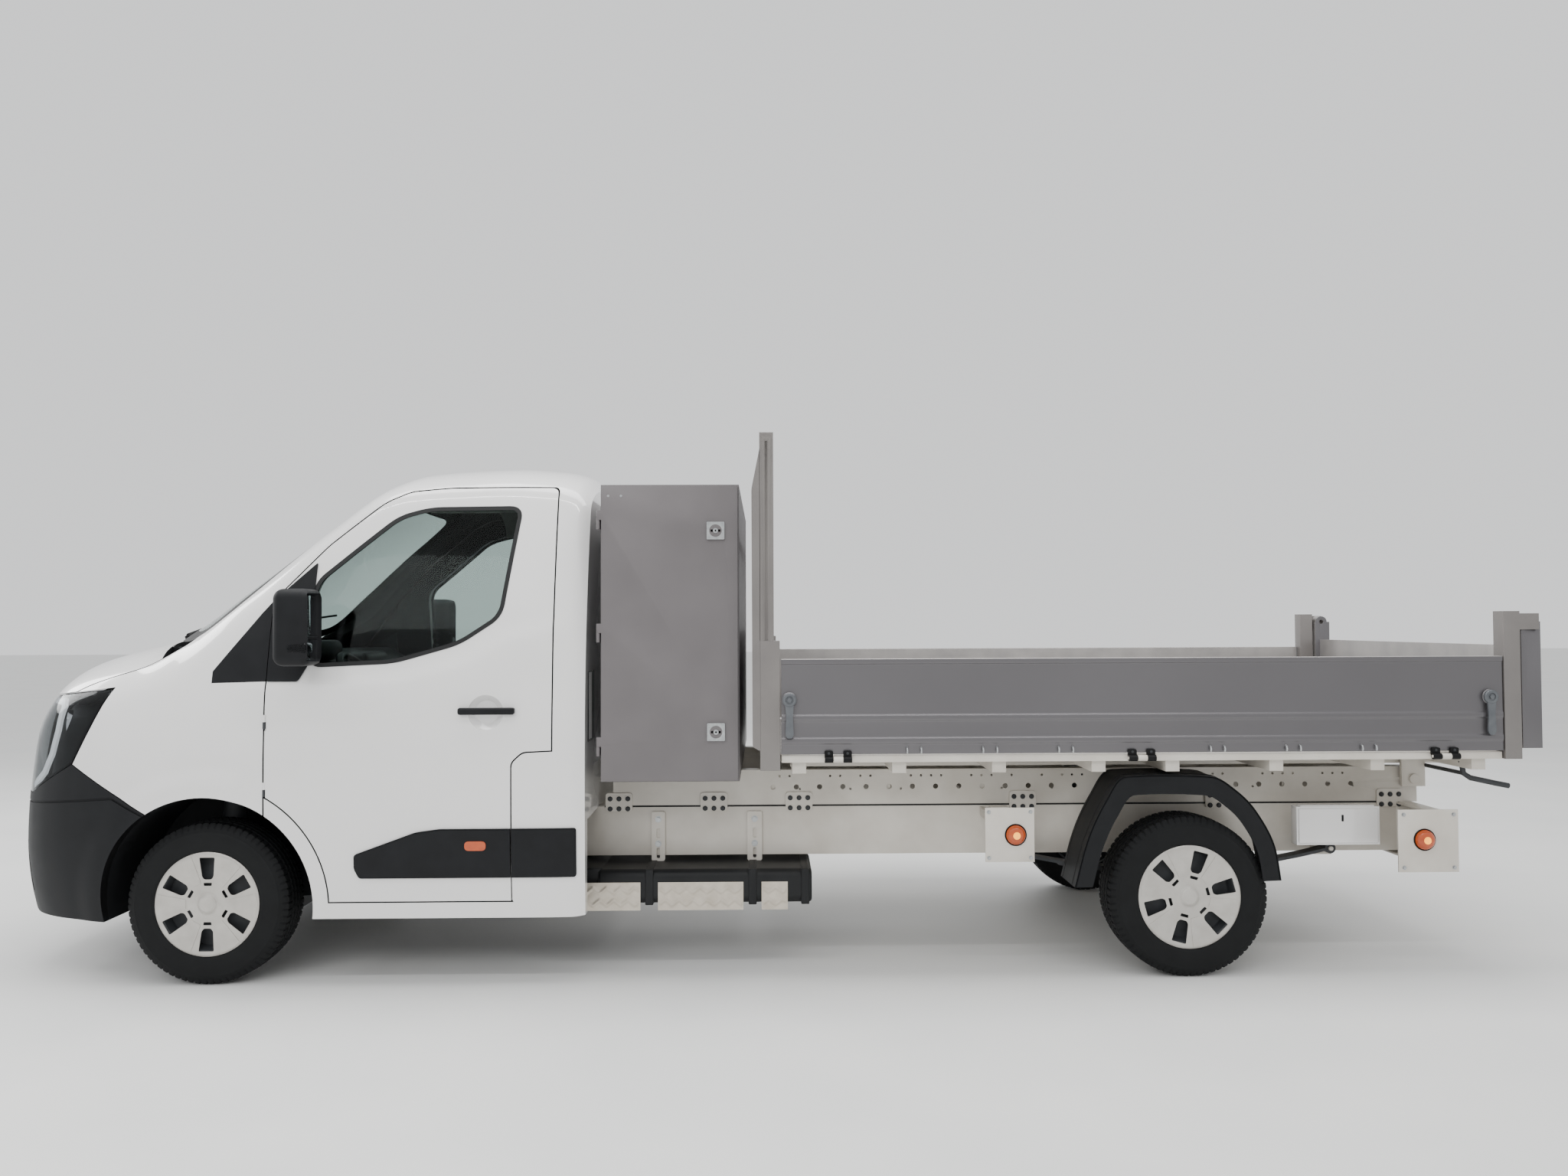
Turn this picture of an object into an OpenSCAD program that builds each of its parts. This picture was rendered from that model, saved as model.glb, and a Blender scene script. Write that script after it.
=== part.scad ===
// Light tipper truck: single cab, tool locker, three-way drop-side tipping bed.
// X runs aft from the front axle, Y to the right, Z up from the ground.

/* [Overall] */
// Distance between the front and rear axles
wheelbase = 4215; // [4000:5:4400]
// Front axle to the foremost point of the bumper
front_overhang = 1010; // [990:5:1030]
// Rear axle to the back of the tailgate
rear_overhang = 1515; // [1500:5:1560]
// Distance between the centres of left and right tyres
track = 1740; // [1730:2:1750]

/* [Wheels] */
// Outer radius of the tyre
tyre_r = 346; // [340:1:350]
// Width of the tyre
tyre_w = 225; // [215:1:230]
// Radius at which the tyre sits on its rim
rim_r = 206; // [200:1:210]
// Width of the rim barrel over its lips
rim_w = 190; // [180:1:194]
// Radius of the wheel cover
cover_r = 222; // [218:1:226]
// Number of slots in the wheel cover
cover_slots = 6; // [5:1:8]
// Radius of the stub axle in its hub
hub_pin_r = 30; // [26:1:34]
// Radius of the front wheel arch
arch_r = 460; // [455:1:468]
// Inward lean of the steering axis, in degrees
steer_lean = 12; // [10:0.5:13]

/* [Cab] */
// Length of the cab from bumper to rear wall
cab_len = 2622; // [2600:2:2640]
// Height of the cab roof above the ground
cab_h = 2288; // [2260:2:2310]
// Half the width of the cab at its belt
cab_half = 1035; // [1020:1:1045]
// Thickness of doors and side walls
cab_wall = 55; // [48:1:62]
// Thickness of the roof and bonnet
roof_wall = 45; // [38:1:52]
// Thickness of the rear wall
rear_wall = 50; // [44:1:60]
// Gap between a moving panel and its frame
shut_gap = 7; // [6:0.5:8]
// Thickness of the glass
glass_t = 5; // [4:0.5:7]
// Height of the underside of the cab floor
floor_low = 700; // [696:1:720]
// Thickness of the cab floor
floor_t = 40; // [30:1:50]
// How far a door mirror stands out from the side of the cab
mirror_out = 200; // [180:5:220]
// Radius of the steering wheel
steering_r = 195; // [180:1:205]

/* [Chassis] */
// Half the width over the frame rails
rail_half = 560; // [550:1:570]
// Height of the underside of the frame rails
rail_low = 465; // [460:1:475]
// Height of the frame rail section
rail_h = 225; // [215:1:228]
// Width of a rail flange
rail_flange = 70; // [60:1:80]
// Thickness of the rail plate
rail_t = 8; // [6:0.5:10]
// Radius of the rear axle tube
axle_r = 42; // [36:1:46]
// Half the length of a rear spring
spring_half = 750; // [720:5:770]
// Thickness of one spring leaf
leaf_t = 14; // [10:1:18]

/* [Tipping bed] */
// Front axle to the front face of the headboard
bed_x = 2363; // [2350:1:2380]
// Half the width over the drop sides
bed_half = 1050; // [1040:1:1060]
// Height of the load floor
bed_top = 970; // [965:1:985]
// Thickness of the load floor
bed_t = 30; // [24:1:36]
// Height of a drop side
side_h = 406; // [380:1:430]
// Thickness of a drop side
side_t = 28; // [24:1:32]
// Length of a corner post along the bed
post_len = 85; // [75:1:90]
// Height of the top of the headboard
headboard_top = 2353; // [2330:1:2380]
// Height of the tailgate panel above the load floor
tailgate_h = 455; // [440:1:470]
// Height of the subframe on the rails
subframe_h = 165; // [160:1:168]
// Tipping hinge, distance behind the rear axle
hinge_aft = 1185; // [1180:1:1190]
// Tipping hinge, height
hinge_z = 800; // [796:1:803]

/* [Tool locker] */
// Front axle to the front face of the locker
locker_x = 1676; // [1670:1:1684]
// Length of the locker along the truck
locker_len = 598; // [580:1:604]
// Height of the locker
locker_h = 1282; // [1240:2:1300]
// Thickness of the locker walls and doors
locker_t = 25; // [20:1:30]

/* [Tipping cylinder] */
// Cylinder eye, distance ahead of the tipping hinge
ram_lever = 1450; // [1445:1:1455]
// Height of the cylinder eye at rest
ram_eye_z = 870; // [866:1:874]
// Height of the cylinder's base pivot
ram_base_z = 400; // [396:1:404]
// Base pivot, distance aft of the eye
ram_base_aft = 60; // [55:1:65]
// Outer radius of the cylinder barrel
ram_r = 70; // [68:1:74]

/* [Hidden] */
$fn = 48;

// Shared fits
cut = 20;
reach = 4000;
seat_fit = 0.3;
pin_fit = 0.05;
hull_fit = 0.5;

// Places worked out along the truck
frame_x = (front_overhang - wheelbase - rear_overhang) / 2;
rear_x = wheelbase + rear_overhang;
rail_top = rail_low + rail_h;
subframe_top = rail_top + subframe_h;
hinge_x = wheelbase + hinge_aft;
floor_top = floor_low + floor_t;
cab_back = cab_len - front_overhang;
door_edge_share = 0.4838;
door_edge = door_edge_share * cab_len - front_overhang;

// Columns: place along the cab, underside, half width there, belt height, half width there,
// rail height, half width there, top; shares of the cab's length, height and half width
section_shares = [
  [0.000, 0.184, 0.261, 0.253, 0.338, 0.297, 0.319, 0.356],
  [0.010, 0.153, 0.425, 0.253, 0.502, 0.323, 0.473, 0.415],
  [0.023, 0.131, 0.541, 0.258, 0.618, 0.372, 0.580, 0.511],
  [0.042, 0.120, 0.638, 0.262, 0.710, 0.424, 0.667, 0.564],
  [0.069, 0.116, 0.720, 0.271, 0.792, 0.455, 0.749, 0.590],
  [0.103, 0.116, 0.787, 0.288, 0.855, 0.476, 0.812, 0.608],
  [0.149, 0.116, 0.845, 0.306, 0.908, 0.494, 0.860, 0.622],
  [0.214, 0.116, 0.899, 0.332, 0.952, 0.511, 0.899, 0.639],
  [0.248, 0.116, 0.918, 0.345, 0.966, 0.522, 0.908, 0.650],
  [0.309, 0.116, 0.937, 0.363, 0.981, 0.546, 0.918, 0.699],
  [0.385, 0.118, 0.952, 0.385, 0.990, 0.612, 0.918, 0.763],
  [0.450, 0.120, 0.957, 0.398, 0.995, 0.682, 0.899, 0.816],
  [0.557, 0.125, 0.966, 0.415, 1.000, 0.804, 0.863, 0.898],
  [0.656, 0.125, 0.966, 0.415, 1.000, 0.892, 0.843, 0.971],
  [0.706, 0.125, 0.966, 0.415, 1.000, 0.907, 0.838, 0.989],
  [0.786, 0.125, 0.966, 0.415, 1.000, 0.913, 0.836, 0.997],
  [0.858, 0.125, 0.966, 0.415, 1.000, 0.916, 0.835, 1.000],
  [0.942, 0.125, 0.966, 0.415, 0.998, 0.911, 0.831, 0.993],
  [0.980, 0.125, 0.961, 0.415, 0.992, 0.900, 0.821, 0.981],
  [1.000, 0.127, 0.947, 0.415, 0.974, 0.883, 0.797, 0.955]
];
crown_power_share = 2.4;
side_steps = 3;
crown_steps = 6;

// Outlines in side view: shares of the cab's length and height
door_shares = [[door_edge_share, 0.157], [door_edge_share, 0.719], [0.569, 0.822], [0.661, 0.906],
  [0.701, 0.927], [0.768, 0.934], [0.947, 0.935], [0.947, 0.157]];
flap_shares = [[0.881, 0.150], [0.881, 0.414], [0.900, 0.434], [0.960, 0.437], [0.960, 0.150]];
window_shares = [[0.552, 0.594], [0.552, 0.752], [0.685, 0.878], [0.736, 0.894],
  [0.889, 0.896], [0.862, 0.686], [0.795, 0.635], [0.690, 0.601]];
quarter_shares = [[0.390, 0.563], [0.390, 0.585], [0.464, 0.694], [0.470, 0.694], [0.470, 0.566]];
bumper_shares = [[-0.1, 0.044], [-0.1, 0.350], [0.059, 0.350], [0.154, 0.410], [0.290, 0.321],
  [0.290, 0.044]];
lamp_shares = [[-0.1, 0.350], [0.059, 0.350], [0.154, 0.410], [0.212, 0.552], [0.086, 0.536],
  [-0.1, 0.519]];
bonnet_low_shares = [[-0.1, 0.519], [0.086, 0.536], [0.212, 0.552], [0.309, 0.552]];
wing_shares = [[0.023, 0.087], [0.023, 0.656], [0.339, 0.656], [0.385, 0.552], [door_edge_share, 0.552],
  [door_edge_share, 0.087]];
strip_shares = [[0.629, 0.219], [0.637, 0.201], [0.987, 0.201], [0.987, 0.292], [0.767, 0.292],
  [0.728, 0.286], [0.629, 0.245]];
// Rear edge of the bonnet in plan: shares of the cab's length and half width
bonnet_rear_shares = [[0.225, 0], [0.238, 0.386], [0.2765, 0.773]];
// Windscreen seen from the front: shares of the cab's half width and height
screen_shares = [[0, 0.653], [0.773, 0.638], [0.812, 0.682], [0.676, 0.927], [0.600, 0.946], [0, 0.957]];
screen_back_share = 0.70;
window_round = 45;

function cab_x(share) = share * cab_len - front_overhang;
function cab_z(share) = share * cab_h;
function side_pts(shares) = [for (s = shares) [cab_x(s[0]), cab_z(s[1])]];

// Half of one cab section, from the underside up to the centre line of the roof.
// t pulls the sides in, roof_t lowers the top and drop lowers the underside.
function half_section(s, t, roof_t, drop) =
  let (zl = cab_z(s[1]) - drop, yl = s[2] * cab_half - t, zb = cab_z(s[3]), yb = s[4] * cab_half - t,
    zr = cab_z(s[5]) - roof_t / 2, yr = s[6] * cab_half - t, zt = cab_z(s[7]) - roof_t,
    lean = 2 * (yb - yr) / (zr - zb), p = 2 / crown_power_share)
  concat(
    [for (i = [0 : side_steps - 1]) let (u = i / side_steps)
      [yb - (yb - yl) * pow(1 - u, 2), zl + (zb - zl) * u]],
    [for (i = [0 : side_steps]) let (u = i / side_steps)
      [yb - (yb - yr) * u * u, zb + (zr - zb) * u]],
    [for (i = [1 : crown_steps - 1]) let (a = 90 * i / crown_steps, z = (zt - zr) * pow(sin(a), p))
      [(yr - lean * z) * pow(cos(a), p), zr + z]],
    [[0, zt]]);

function full_section(s, t, roof_t, drop) =
  let (h = half_section(s, t, roof_t, drop), n = len(h))
  concat(h, [for (i = [n - 2 : -1 : 0]) [-h[i][0], h[i][1]]]);

// The cab's outer form, or the form inside its walls
module cab_loft(t = 0, roof_t = 0, drop = 0, front_in = 0, rear_in = 0) {
  keep_share = (cab_len - front_in - rear_in) / cab_len;
  rings = [for (s = section_shares) let (x = front_in - front_overhang + s[0] * cab_len * keep_share)
    [for (p = full_section(s, t, roof_t, drop)) [x, p[0], p[1]]]];
  n = len(rings[0]);
  for (i = [0 : len(rings) - 2])
    hull()
      polyhedron(points = concat(rings[i], rings[i + 1]),
        faces = [[for (k = [0 : n - 1]) k], [for (k = [0 : n - 1]) 2 * n - 1 - k]]);
}

// A skin between two depths under the cab's outer form
module cab_skin(depth, t) {
  difference() {
    cab_loft(depth, depth, 0, depth, depth);
    cab_loft(depth + t, depth + t, cut, depth + t, depth + t);
  }
}

inner_drop = 100;

module inner_loft(deep = 0) {
  cab_loft(cab_wall + deep, roof_wall + deep, inner_drop, cab_wall + deep, rear_wall + deep);
}

module block(x, y, z) {
  translate([x[0], y[0], z[0]])
    cube([x[1] - x[0], y[1] - y[0], z[1] - z[0]]);
}

module both_sides() {
  children();
  mirror([0, 1, 0])
    children();
}

module left_half() {
  intersection() {
    children();
    block([-reach, reach], [-reach, 0], [-reach, reach]);
  }
}

module side_prism() {
  rotate([90, 0, 0])
    linear_extrude(height = 2 * reach, center = true)
      children();
}

// A round bar along Y from y[0] to y[1], through the point [x, z]
module bar_y(p, r, y) {
  translate([p[0], y[0], p[1]])
    rotate([-90, 0, 0])
      cylinder(r = r, h = y[1] - y[0]);
}

// Cab zones, each the full depth of the panel it cuts out
well_in = 500;
tub_t = 30;

module wheel_well(grow = 0) {
  bar_y([0, tyre_r], arch_r + grow, [-reach, -well_in + grow]);
}

module bumper_zone() {
  side_prism()
    polygon(side_pts(bumper_shares));
}

lamp_in = 497;

module lamp_prism() {
  side_prism()
    polygon(side_pts(lamp_shares));
}

function bonnet_plan(grow) =
  let (rear = [for (s = bonnet_rear_shares) [cab_x(s[0]) + 2 * grow, s[1] * cab_half]],
    half = bonnet_rear_shares[2][1] * cab_half + grow)
  concat([[-reach, half], [rear[2][0], half]], [[rear[1][0], rear[1][1]], rear[0], [rear[1][0], -rear[1][1]]],
    [[rear[2][0], -half], [-reach, -half]]);

module bonnet_zone(grow) {
  low = side_pts(bonnet_low_shares);
  intersection() {
    linear_extrude(height = reach)
      polygon(bonnet_plan(grow));
    side_prism()
      polygon(concat([for (p = low) [p[0], p[1] + shut_gap - grow]],
        [[reach, low[3][1] + shut_gap - grow], [reach, reach], [low[0][0], reach]]));
  }
}

module screen_zone(grow = 0) {
  pts = [for (s = screen_shares) [s[0] * cab_half, cab_z(s[1])]];
  n = len(pts);
  intersection() {
    rotate([90, 0, 90])
      linear_extrude(height = 2 * reach, center = true)
        offset(delta = grow)
          polygon(concat(pts, [for (i = [n - 2 : -1 : 1]) [-pts[i][0], pts[i][1]]]));
    block([-reach, cab_x(screen_back_share)], [-reach, reach], [-reach, reach]);
  }
}

// Louvred panel between the bonnet and the windscreen, with notches for the bonnet hinges
bonnet_pin_x = -285;
bonnet_pin_z_share = 0.6228;
bonnet_pin_z = cab_z(bonnet_pin_z_share);
bonnet_pin_r = 7;
bonnet_arm_y = 578;
bonnet_arm_t = 18;
bonnet_bracket_t = 18;
bonnet_bracket_y = bonnet_arm_y + bonnet_arm_t + bonnet_bracket_t;
cowl_back = 40;

module cowl_block() {
  half = bonnet_rear_shares[2][1] * cab_half + shut_gap;
  block([-reach, cowl_back], [-half, half], [cab_z(bonnet_low_shares[0][1]), reach]);
}

module cowl_zone() {
  difference() {
    cowl_block();
    linear_extrude(height = reach)
      polygon(bonnet_plan(shut_gap));
    screen_zone();
  }
}

module hinge_notch() {
  both_sides()
    block([-reach, firewall_x + firewall_t], [-bonnet_bracket_y - cut, -bonnet_arm_y + cut], [0, reach]);
}

module wing_zone() {
  side_prism()
    polygon(side_pts(wing_shares));
}

module quarter_zone() {
  side_prism()
    polygon(side_pts(quarter_shares));
}

// Door outline on the left side, grown for the opening that it sits in
door_arch_r = 530;
module door_zone(grow, flap) {
  left_half()
    side_prism()
      difference() {
        offset(delta = grow)
          polygon(side_pts(door_shares));
        translate([0, tyre_r])
          circle(r = door_arch_r - grow);
        if (flap)
          offset(delta = -grow)
            polygon(side_pts(flap_shares));
      }
}

module window_zone(shrink) {
  side_prism()
    offset(r = window_round)
      offset(delta = -window_round - shrink)
        polygon(side_pts(window_shares));
}

// Door hinges: pins on the front pillar, knuckles on the door
door_axis_in = 0.6;
door_axis_x = door_edge - door_axis_in;
door_pin_in = 5;
door_axis_y = door_pin_in - cab_half;
door_knuckle_r = 5.5;
door_pin_r = 3;
door_knuckle_h = 30;
door_hinge_spread = 286;
door_hinge_low = tyre_r + sqrt(pow(door_arch_r, 2) - pow(door_edge, 2)) + door_knuckle_h;
door_hinge_z = [door_hinge_low, door_hinge_low + door_hinge_spread];
pillar_in = 60;
pillar_w = 75;
pillar_y = [pillar_in - cab_half, pillar_in + pillar_w - cab_half];
pillar_len = 100;
hinge_plate_t = 5;
hinge_leaf = 24;

module door_hinge_pins() {
  edge = door_edge - shut_gap;
  for (z = door_hinge_z) {
    translate([door_axis_x, door_axis_y, z - door_knuckle_h]) {
      cylinder(r = door_knuckle_r, h = door_knuckle_h - hull_fit);
      cylinder(r = door_pin_r, h = 2 * door_knuckle_h);
    }
    block([edge - hull_fit, edge + hinge_plate_t], [pillar_y[0] + hinge_leaf, pillar_y[1]],
      [z - door_knuckle_h, z - hull_fit]);
    block([edge, edge + hinge_plate_t], [door_axis_y, pillar_y[1]], [z - door_knuckle_h, z - hull_fit]);
  }
}

module door_hinge_knuckles() {
  for (z = door_hinge_z)
    translate([door_axis_x, door_axis_y, z]) {
      cylinder(r = door_knuckle_r, h = door_knuckle_h);
      cube([hinge_leaf, hinge_leaf, door_knuckle_h]);
    }
}

module door_hinge_bores() {
  for (z = door_hinge_z)
    translate([door_axis_x, door_axis_y, z - cut])
      cylinder(r = door_pin_r + hull_fit, h = door_knuckle_h + 2 * cut);
}

module door_hinge_pockets() {
  for (z = door_hinge_z)
    translate([door_axis_x, door_axis_y, z - door_knuckle_h - shut_gap])
      cylinder(r = 2 * door_knuckle_r, h = door_knuckle_h + shut_gap + hull_fit);
}

// Floor plate with the firewall, seat boxes and cab mounts
firewall_x = -200;
firewall_t = 40;
firewall_top_share = 0.5922;
firewall_top = cab_z(firewall_top_share);
seat_x = 850;
seat_len = 560;
seat_box_top = 930;
floor_wide = 940;
firewall_wide = 800;
driver_y = [-800, -320];
bench_y = [-140, 800];
mount_x = 620;
mount_len = 110;
rib_count = 4;
rib_pitch = 150;
rib_w = 60;
rib_depth = 12;
rib_low_share = 0.3584;
rib_low = cab_z(rib_low_share);
rib_top_share = 0.5682;
rib_top = cab_z(rib_top_share);
panel_low_share = 0.6031;
panel_low = cab_z(panel_low_share);
panel_top_share = 0.8435;
panel_top = cab_z(panel_top_share);
panel_half = 520;
under_half = 930;
under_depth = 130;

// Openings in the cab's skin that the outer panels fill
module panel_zones() {
  both_sides() {
    quarter_zone();
    intersection() {
      wing_zone();
      block([-reach, reach], [-reach, -well_in], [-reach, reach]);
    }
  }
  bumper_zone();
  lamp_prism();
  bonnet_zone(shut_gap);
  cowl_block();
  door_zone(shut_gap, true);
  mirror([0, 1, 0])
    door_zone(shut_gap, false);
}

module cab_inside() {
  difference() {
    inner_loft();
    both_sides() {
      wheel_well(tub_t);
      block([door_edge - shut_gap - pillar_len, door_edge - shut_gap - hull_fit], pillar_y,
        [floor_top, cab_z(door_shares[1][1])]);
    }
  }
}

module cab_floor() {
  x_end = cab_back - rear_wall;
  color("#3a3b3d") {
    difference() {
      union() {
        block([firewall_x, x_end], [-floor_wide, floor_wide], [floor_low, floor_top]);
        block([firewall_x, firewall_x + firewall_t], [-firewall_wide, firewall_wide], [floor_low, firewall_top]);
      }
      both_sides()
        wheel_well(tub_t);
    }
    both_sides()
      block([mount_x, mount_x + mount_len], [-rail_half, -rail_half + rail_flange], [rail_top, floor_low]);
    for (y = [driver_y, bench_y])
      block([seat_x, seat_x + seat_len], y, [floor_top, seat_box_top]);
  }
}

bracket_margin = 14;
bracket_h = 60;

// Hinge pins of the bonnet on their brackets
module bonnet_brackets() {
  y = -bonnet_arm_y - bonnet_arm_t;
  block([bonnet_pin_x - bracket_margin, firewall_x], [-bonnet_bracket_y, y - shut_gap / 2],
    [firewall_top - bracket_h, firewall_top]);
  block([bonnet_pin_x - bracket_margin, bonnet_pin_x + bracket_margin], [-bonnet_bracket_y, y - shut_gap / 2],
    [firewall_top - bracket_h, bonnet_pin_z + bracket_margin]);
  bar_y([bonnet_pin_x, bonnet_pin_z], bonnet_pin_r, [y - shut_gap, -bonnet_arm_y + shut_gap]);
}

// Door and bonnet hinge halves that stay on the cab
module cab_hinges() {
  color("#55585c")
    both_sides() {
      bonnet_brackets();
      door_hinge_pins();
    }
}

module cab_body() {
  color("white")
    difference() {
      cab_loft();
      cab_inside();
      difference() {
        panel_zones();
        inner_loft(hull_fit);
      }
      both_sides()
        wheel_well();
      screen_zone();
      block([cab_back - under_depth, reach], [-under_half, under_half], [-reach, rail_top]);
      for (i = [0 : rib_count - 1]) {
        y = (i - (rib_count - 1) / 2) * rib_pitch;
        block([cab_back - rib_depth, reach], [y - rib_w / 2, y + rib_w / 2], [rib_low, rib_top]);
      }
      block([cab_back - rib_depth, reach], [-panel_half, panel_half], [panel_low, panel_top]);
    }
}

// Outer panels of the cab, each the depth of the wall behind it
module front_wings() {
  color("white")
    both_sides()
      difference() {
        intersection() {
          cab_loft();
          wing_zone();
          block([-reach, door_edge - shut_gap], [-reach, -well_in], [-reach, reach]);
        }
        inner_loft();
        wheel_well();
        bumper_zone();
        lamp_prism();
        bonnet_zone(shut_gap);
        cowl_block();
        screen_zone();
      }
}

bonnet_arm_len = 90;
bonnet_arm_half = 12;

module bonnet() {
  y = -bonnet_arm_y - bonnet_arm_t;
  color("white") {
    difference() {
      intersection() {
        cab_loft();
        bonnet_zone(0);
      }
      cab_loft(roof_wall, roof_wall, inner_drop, roof_wall, rear_wall);
    }
    both_sides()
      difference() {
        block([bonnet_pin_x - bonnet_arm_len, bonnet_pin_x + bonnet_arm_half], [y, -bonnet_arm_y],
          [bonnet_pin_z - bonnet_arm_half, bonnet_pin_z + bonnet_arm_half]);
        bar_y([bonnet_pin_x, bonnet_pin_z], bonnet_pin_r + hull_fit, [y - cut, -bonnet_arm_y + cut]);
      }
  }
}

intake_low_share = 0.1705;
intake_low = cab_z(intake_low_share);
intake_h = 150;
intake_half = 430;
intake_bars = 3;
intake_bar_h = 14;

module front_bumper() {
  pitch = intake_h / (intake_bars + 1);
  color("#33353a")
    difference() {
      intersection() {
        cab_loft();
        bumper_zone();
      }
      inner_loft();
      both_sides()
        wheel_well();
      difference() {
        block([-reach, 0], [-intake_half, intake_half], [intake_low, intake_low + intake_h]);
        for (i = [1 : intake_bars])
          block([-reach, 0], [-intake_half, intake_half],
            [intake_low + i * pitch - intake_bar_h / 2, intake_low + i * pitch + intake_bar_h / 2]);
      }
    }
}

grille_depth = 8;
grille_t = 26;
grille_slots = 5;
grille_slot_h = 26;
grille_margin = 30;

module grille() {
  low = cab_z(lamp_shares[0][1]) + grille_margin;
  pitch = (cab_z(lamp_shares[5][1]) - low) / grille_slots;
  color("#26282b")
    difference() {
      intersection() {
        cab_skin(grille_depth, grille_t);
        lamp_prism();
        block([-reach, 0], [-lamp_in, lamp_in], [-reach, reach]);
      }
      for (i = [0 : grille_slots - 1])
        block([-reach, 0], [-lamp_in + grille_margin, lamp_in - grille_margin],
          [low + i * pitch, low + i * pitch + grille_slot_h]);
    }
}

lamp_depth = 2;
lamp_t = 70;

module headlamps() {
  color("#d9dde0")
    both_sides()
      intersection() {
        cab_skin(lamp_depth, lamp_t);
        lamp_prism();
        block([-reach, 0], [-reach, -lamp_in], [-reach, reach]);
      }
}

glass_depth = 4;

module windscreen() {
  color("#6f8f99")
    intersection() {
      cab_skin(glass_depth, glass_t);
      screen_zone(-seat_fit);
    }
}

cowl_depth = 25;
cowl_t = 20;
quarter_t = 20;
strip_t = 14;

// Rub strip on the left side, standing proud, from x[0] to x[1]
module rub_strip(x) {
  intersection() {
    difference() {
      cab_loft(-strip_t);
      cab_loft();
    }
    side_prism()
      polygon(side_pts(strip_shares));
    block(x, [-reach, 0], [-reach, reach]);
  }
}

module cab_trim() {
  color("#2c2e31") {
    difference() {
      intersection() {
        cab_skin(cowl_depth, cowl_t);
        cowl_zone();
      }
      hinge_notch();
    }
    both_sides()
      intersection() {
        cab_skin(0, quarter_t);
        quarter_zone();
        block([-reach, reach], [-reach, 0], [-reach, reach]);
      }
    rub_strip([cab_x(flap_shares[0][0]) + shut_gap, reach]);
    mirror([0, 1, 0])
      rub_strip([cab_x(door_shares[6][0]) + shut_gap, reach]);
  }
}

module door(flap) {
  difference() {
    union() {
      difference() {
        intersection() {
          cab_loft();
          door_zone(0, flap);
        }
        inner_loft();
        window_zone(0);
        door_hinge_pockets();
      }
      door_hinge_knuckles();
    }
    door_hinge_bores();
  }
}

module door_left() {
  color("white")
    door(true);
}

module door_right() {
  color("white")
    mirror([0, 1, 0])
      door(false);
}

module door_glass() {
  color("#6f8f99")
    intersection() {
      cab_skin(glass_depth, glass_t);
      window_zone(seat_fit);
      block([-reach, reach], [-reach, 0], [-reach, reach]);
    }
}

// Door mirror on its arm, pull handle and rub strip
mirror_x = 356;
mirror_len = 150;
mirror_low_share = 0.5966;
mirror_low = cab_z(mirror_low_share);
mirror_h = 320;
mirror_w = 190;
mirror_round = 40;
mirror_reach = cab_half + mirror_out;
mirror_arm_r = 26;
mirror_arm_up = 35;
mirror_arm_z = mirror_low + mirror_arm_up;
mirror_arm_in = cab_half - cab_wall;
handle_x = 1200;
handle_z_share = 0.5092;
handle_z = cab_z(handle_z_share);
handle_half = 110;
handle_r = 13;
handle_stand = 21;
handle_out = cab_half + handle_stand;
ball_fn = 14;

module mirror_head() {
  hull()
    for (x = [mirror_x + mirror_round, mirror_x + mirror_len - mirror_round])
      for (y = [mirror_round - mirror_reach, mirror_w - mirror_round - mirror_reach])
        for (z = [mirror_low + mirror_round, mirror_low + mirror_h - mirror_round])
          translate([x, y, z])
            sphere(r = mirror_round, $fn = ball_fn);
  translate([mirror_x + mirror_len / 2, mirror_w - mirror_round - mirror_reach, mirror_arm_z])
    rotate([-90, 0, 0])
      cylinder(r = mirror_arm_r, h = mirror_reach - mirror_w + mirror_round - mirror_arm_in, $fn = ball_fn);
}

module pull_handle() {
  for (x = [handle_x - handle_half, handle_x + handle_half])
    translate([x, -handle_out, handle_z])
      rotate([-90, 0, 0])
        cylinder(r = handle_r, h = handle_out - cab_half + cab_wall / 2, $fn = ball_fn);
  hull()
    for (x = [handle_x - handle_half, handle_x + handle_half])
      translate([x, -handle_out, handle_z])
        sphere(r = handle_r, $fn = ball_fn);
}

module door_fittings(flap) {
  strip_end = flap ? cab_x(flap_shares[0][0]) : cab_x(door_shares[6][0]);
  color("#2c2e31") {
    rub_strip([-reach, strip_end]);
    difference() {
      union() {
        mirror_head();
        pull_handle();
      }
      cab_loft();
    }
  }
}

// Dashboard: its side outline in shares of its length and height
dash_x = firewall_x + firewall_t;
dash_len = 560;
dash_h = 430;
dash_top_share = 0.6075;
dash_low = cab_z(dash_top_share) - dash_h;
dash_half = 780;
shelf_half = 300;
dash_shares = [[0, 0.2], [0, 0.925], [-0.41, 0.95], [-0.41, 1], [-0.3, 1], [0.3, 1.04], [0.72, 1.04], [0.9, 0.9],
  [1, 0.62], [1, 0.35], [0.75, 0], [0.3, 0]];
// Steering wheel: centre, rise of its column in degrees, and its sections
wheel_x = 545;
wheel_y = -560;
wheel_rise = 300;
wheel_z = dash_low + wheel_rise;
column_rise = 40;
column_r = 28;
column_len = 300;
steering_tube = 17;
boss_r = 62;
boss_t = 45;
spoke_count = 3;
spoke_w = 46;
spoke_t = 16;

module on_column() {
  translate([wheel_x, wheel_y, wheel_z])
    rotate([0, 90 - column_rise, 0])
      children();
}

// Stay on the dashboard's shelf that carries the louvred panel
cowl_stay_x = [-385, -365];
cowl_stay_half = 200;
cowl_stay_lap = 10;
cowl_seat_share = 0.6412;

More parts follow.
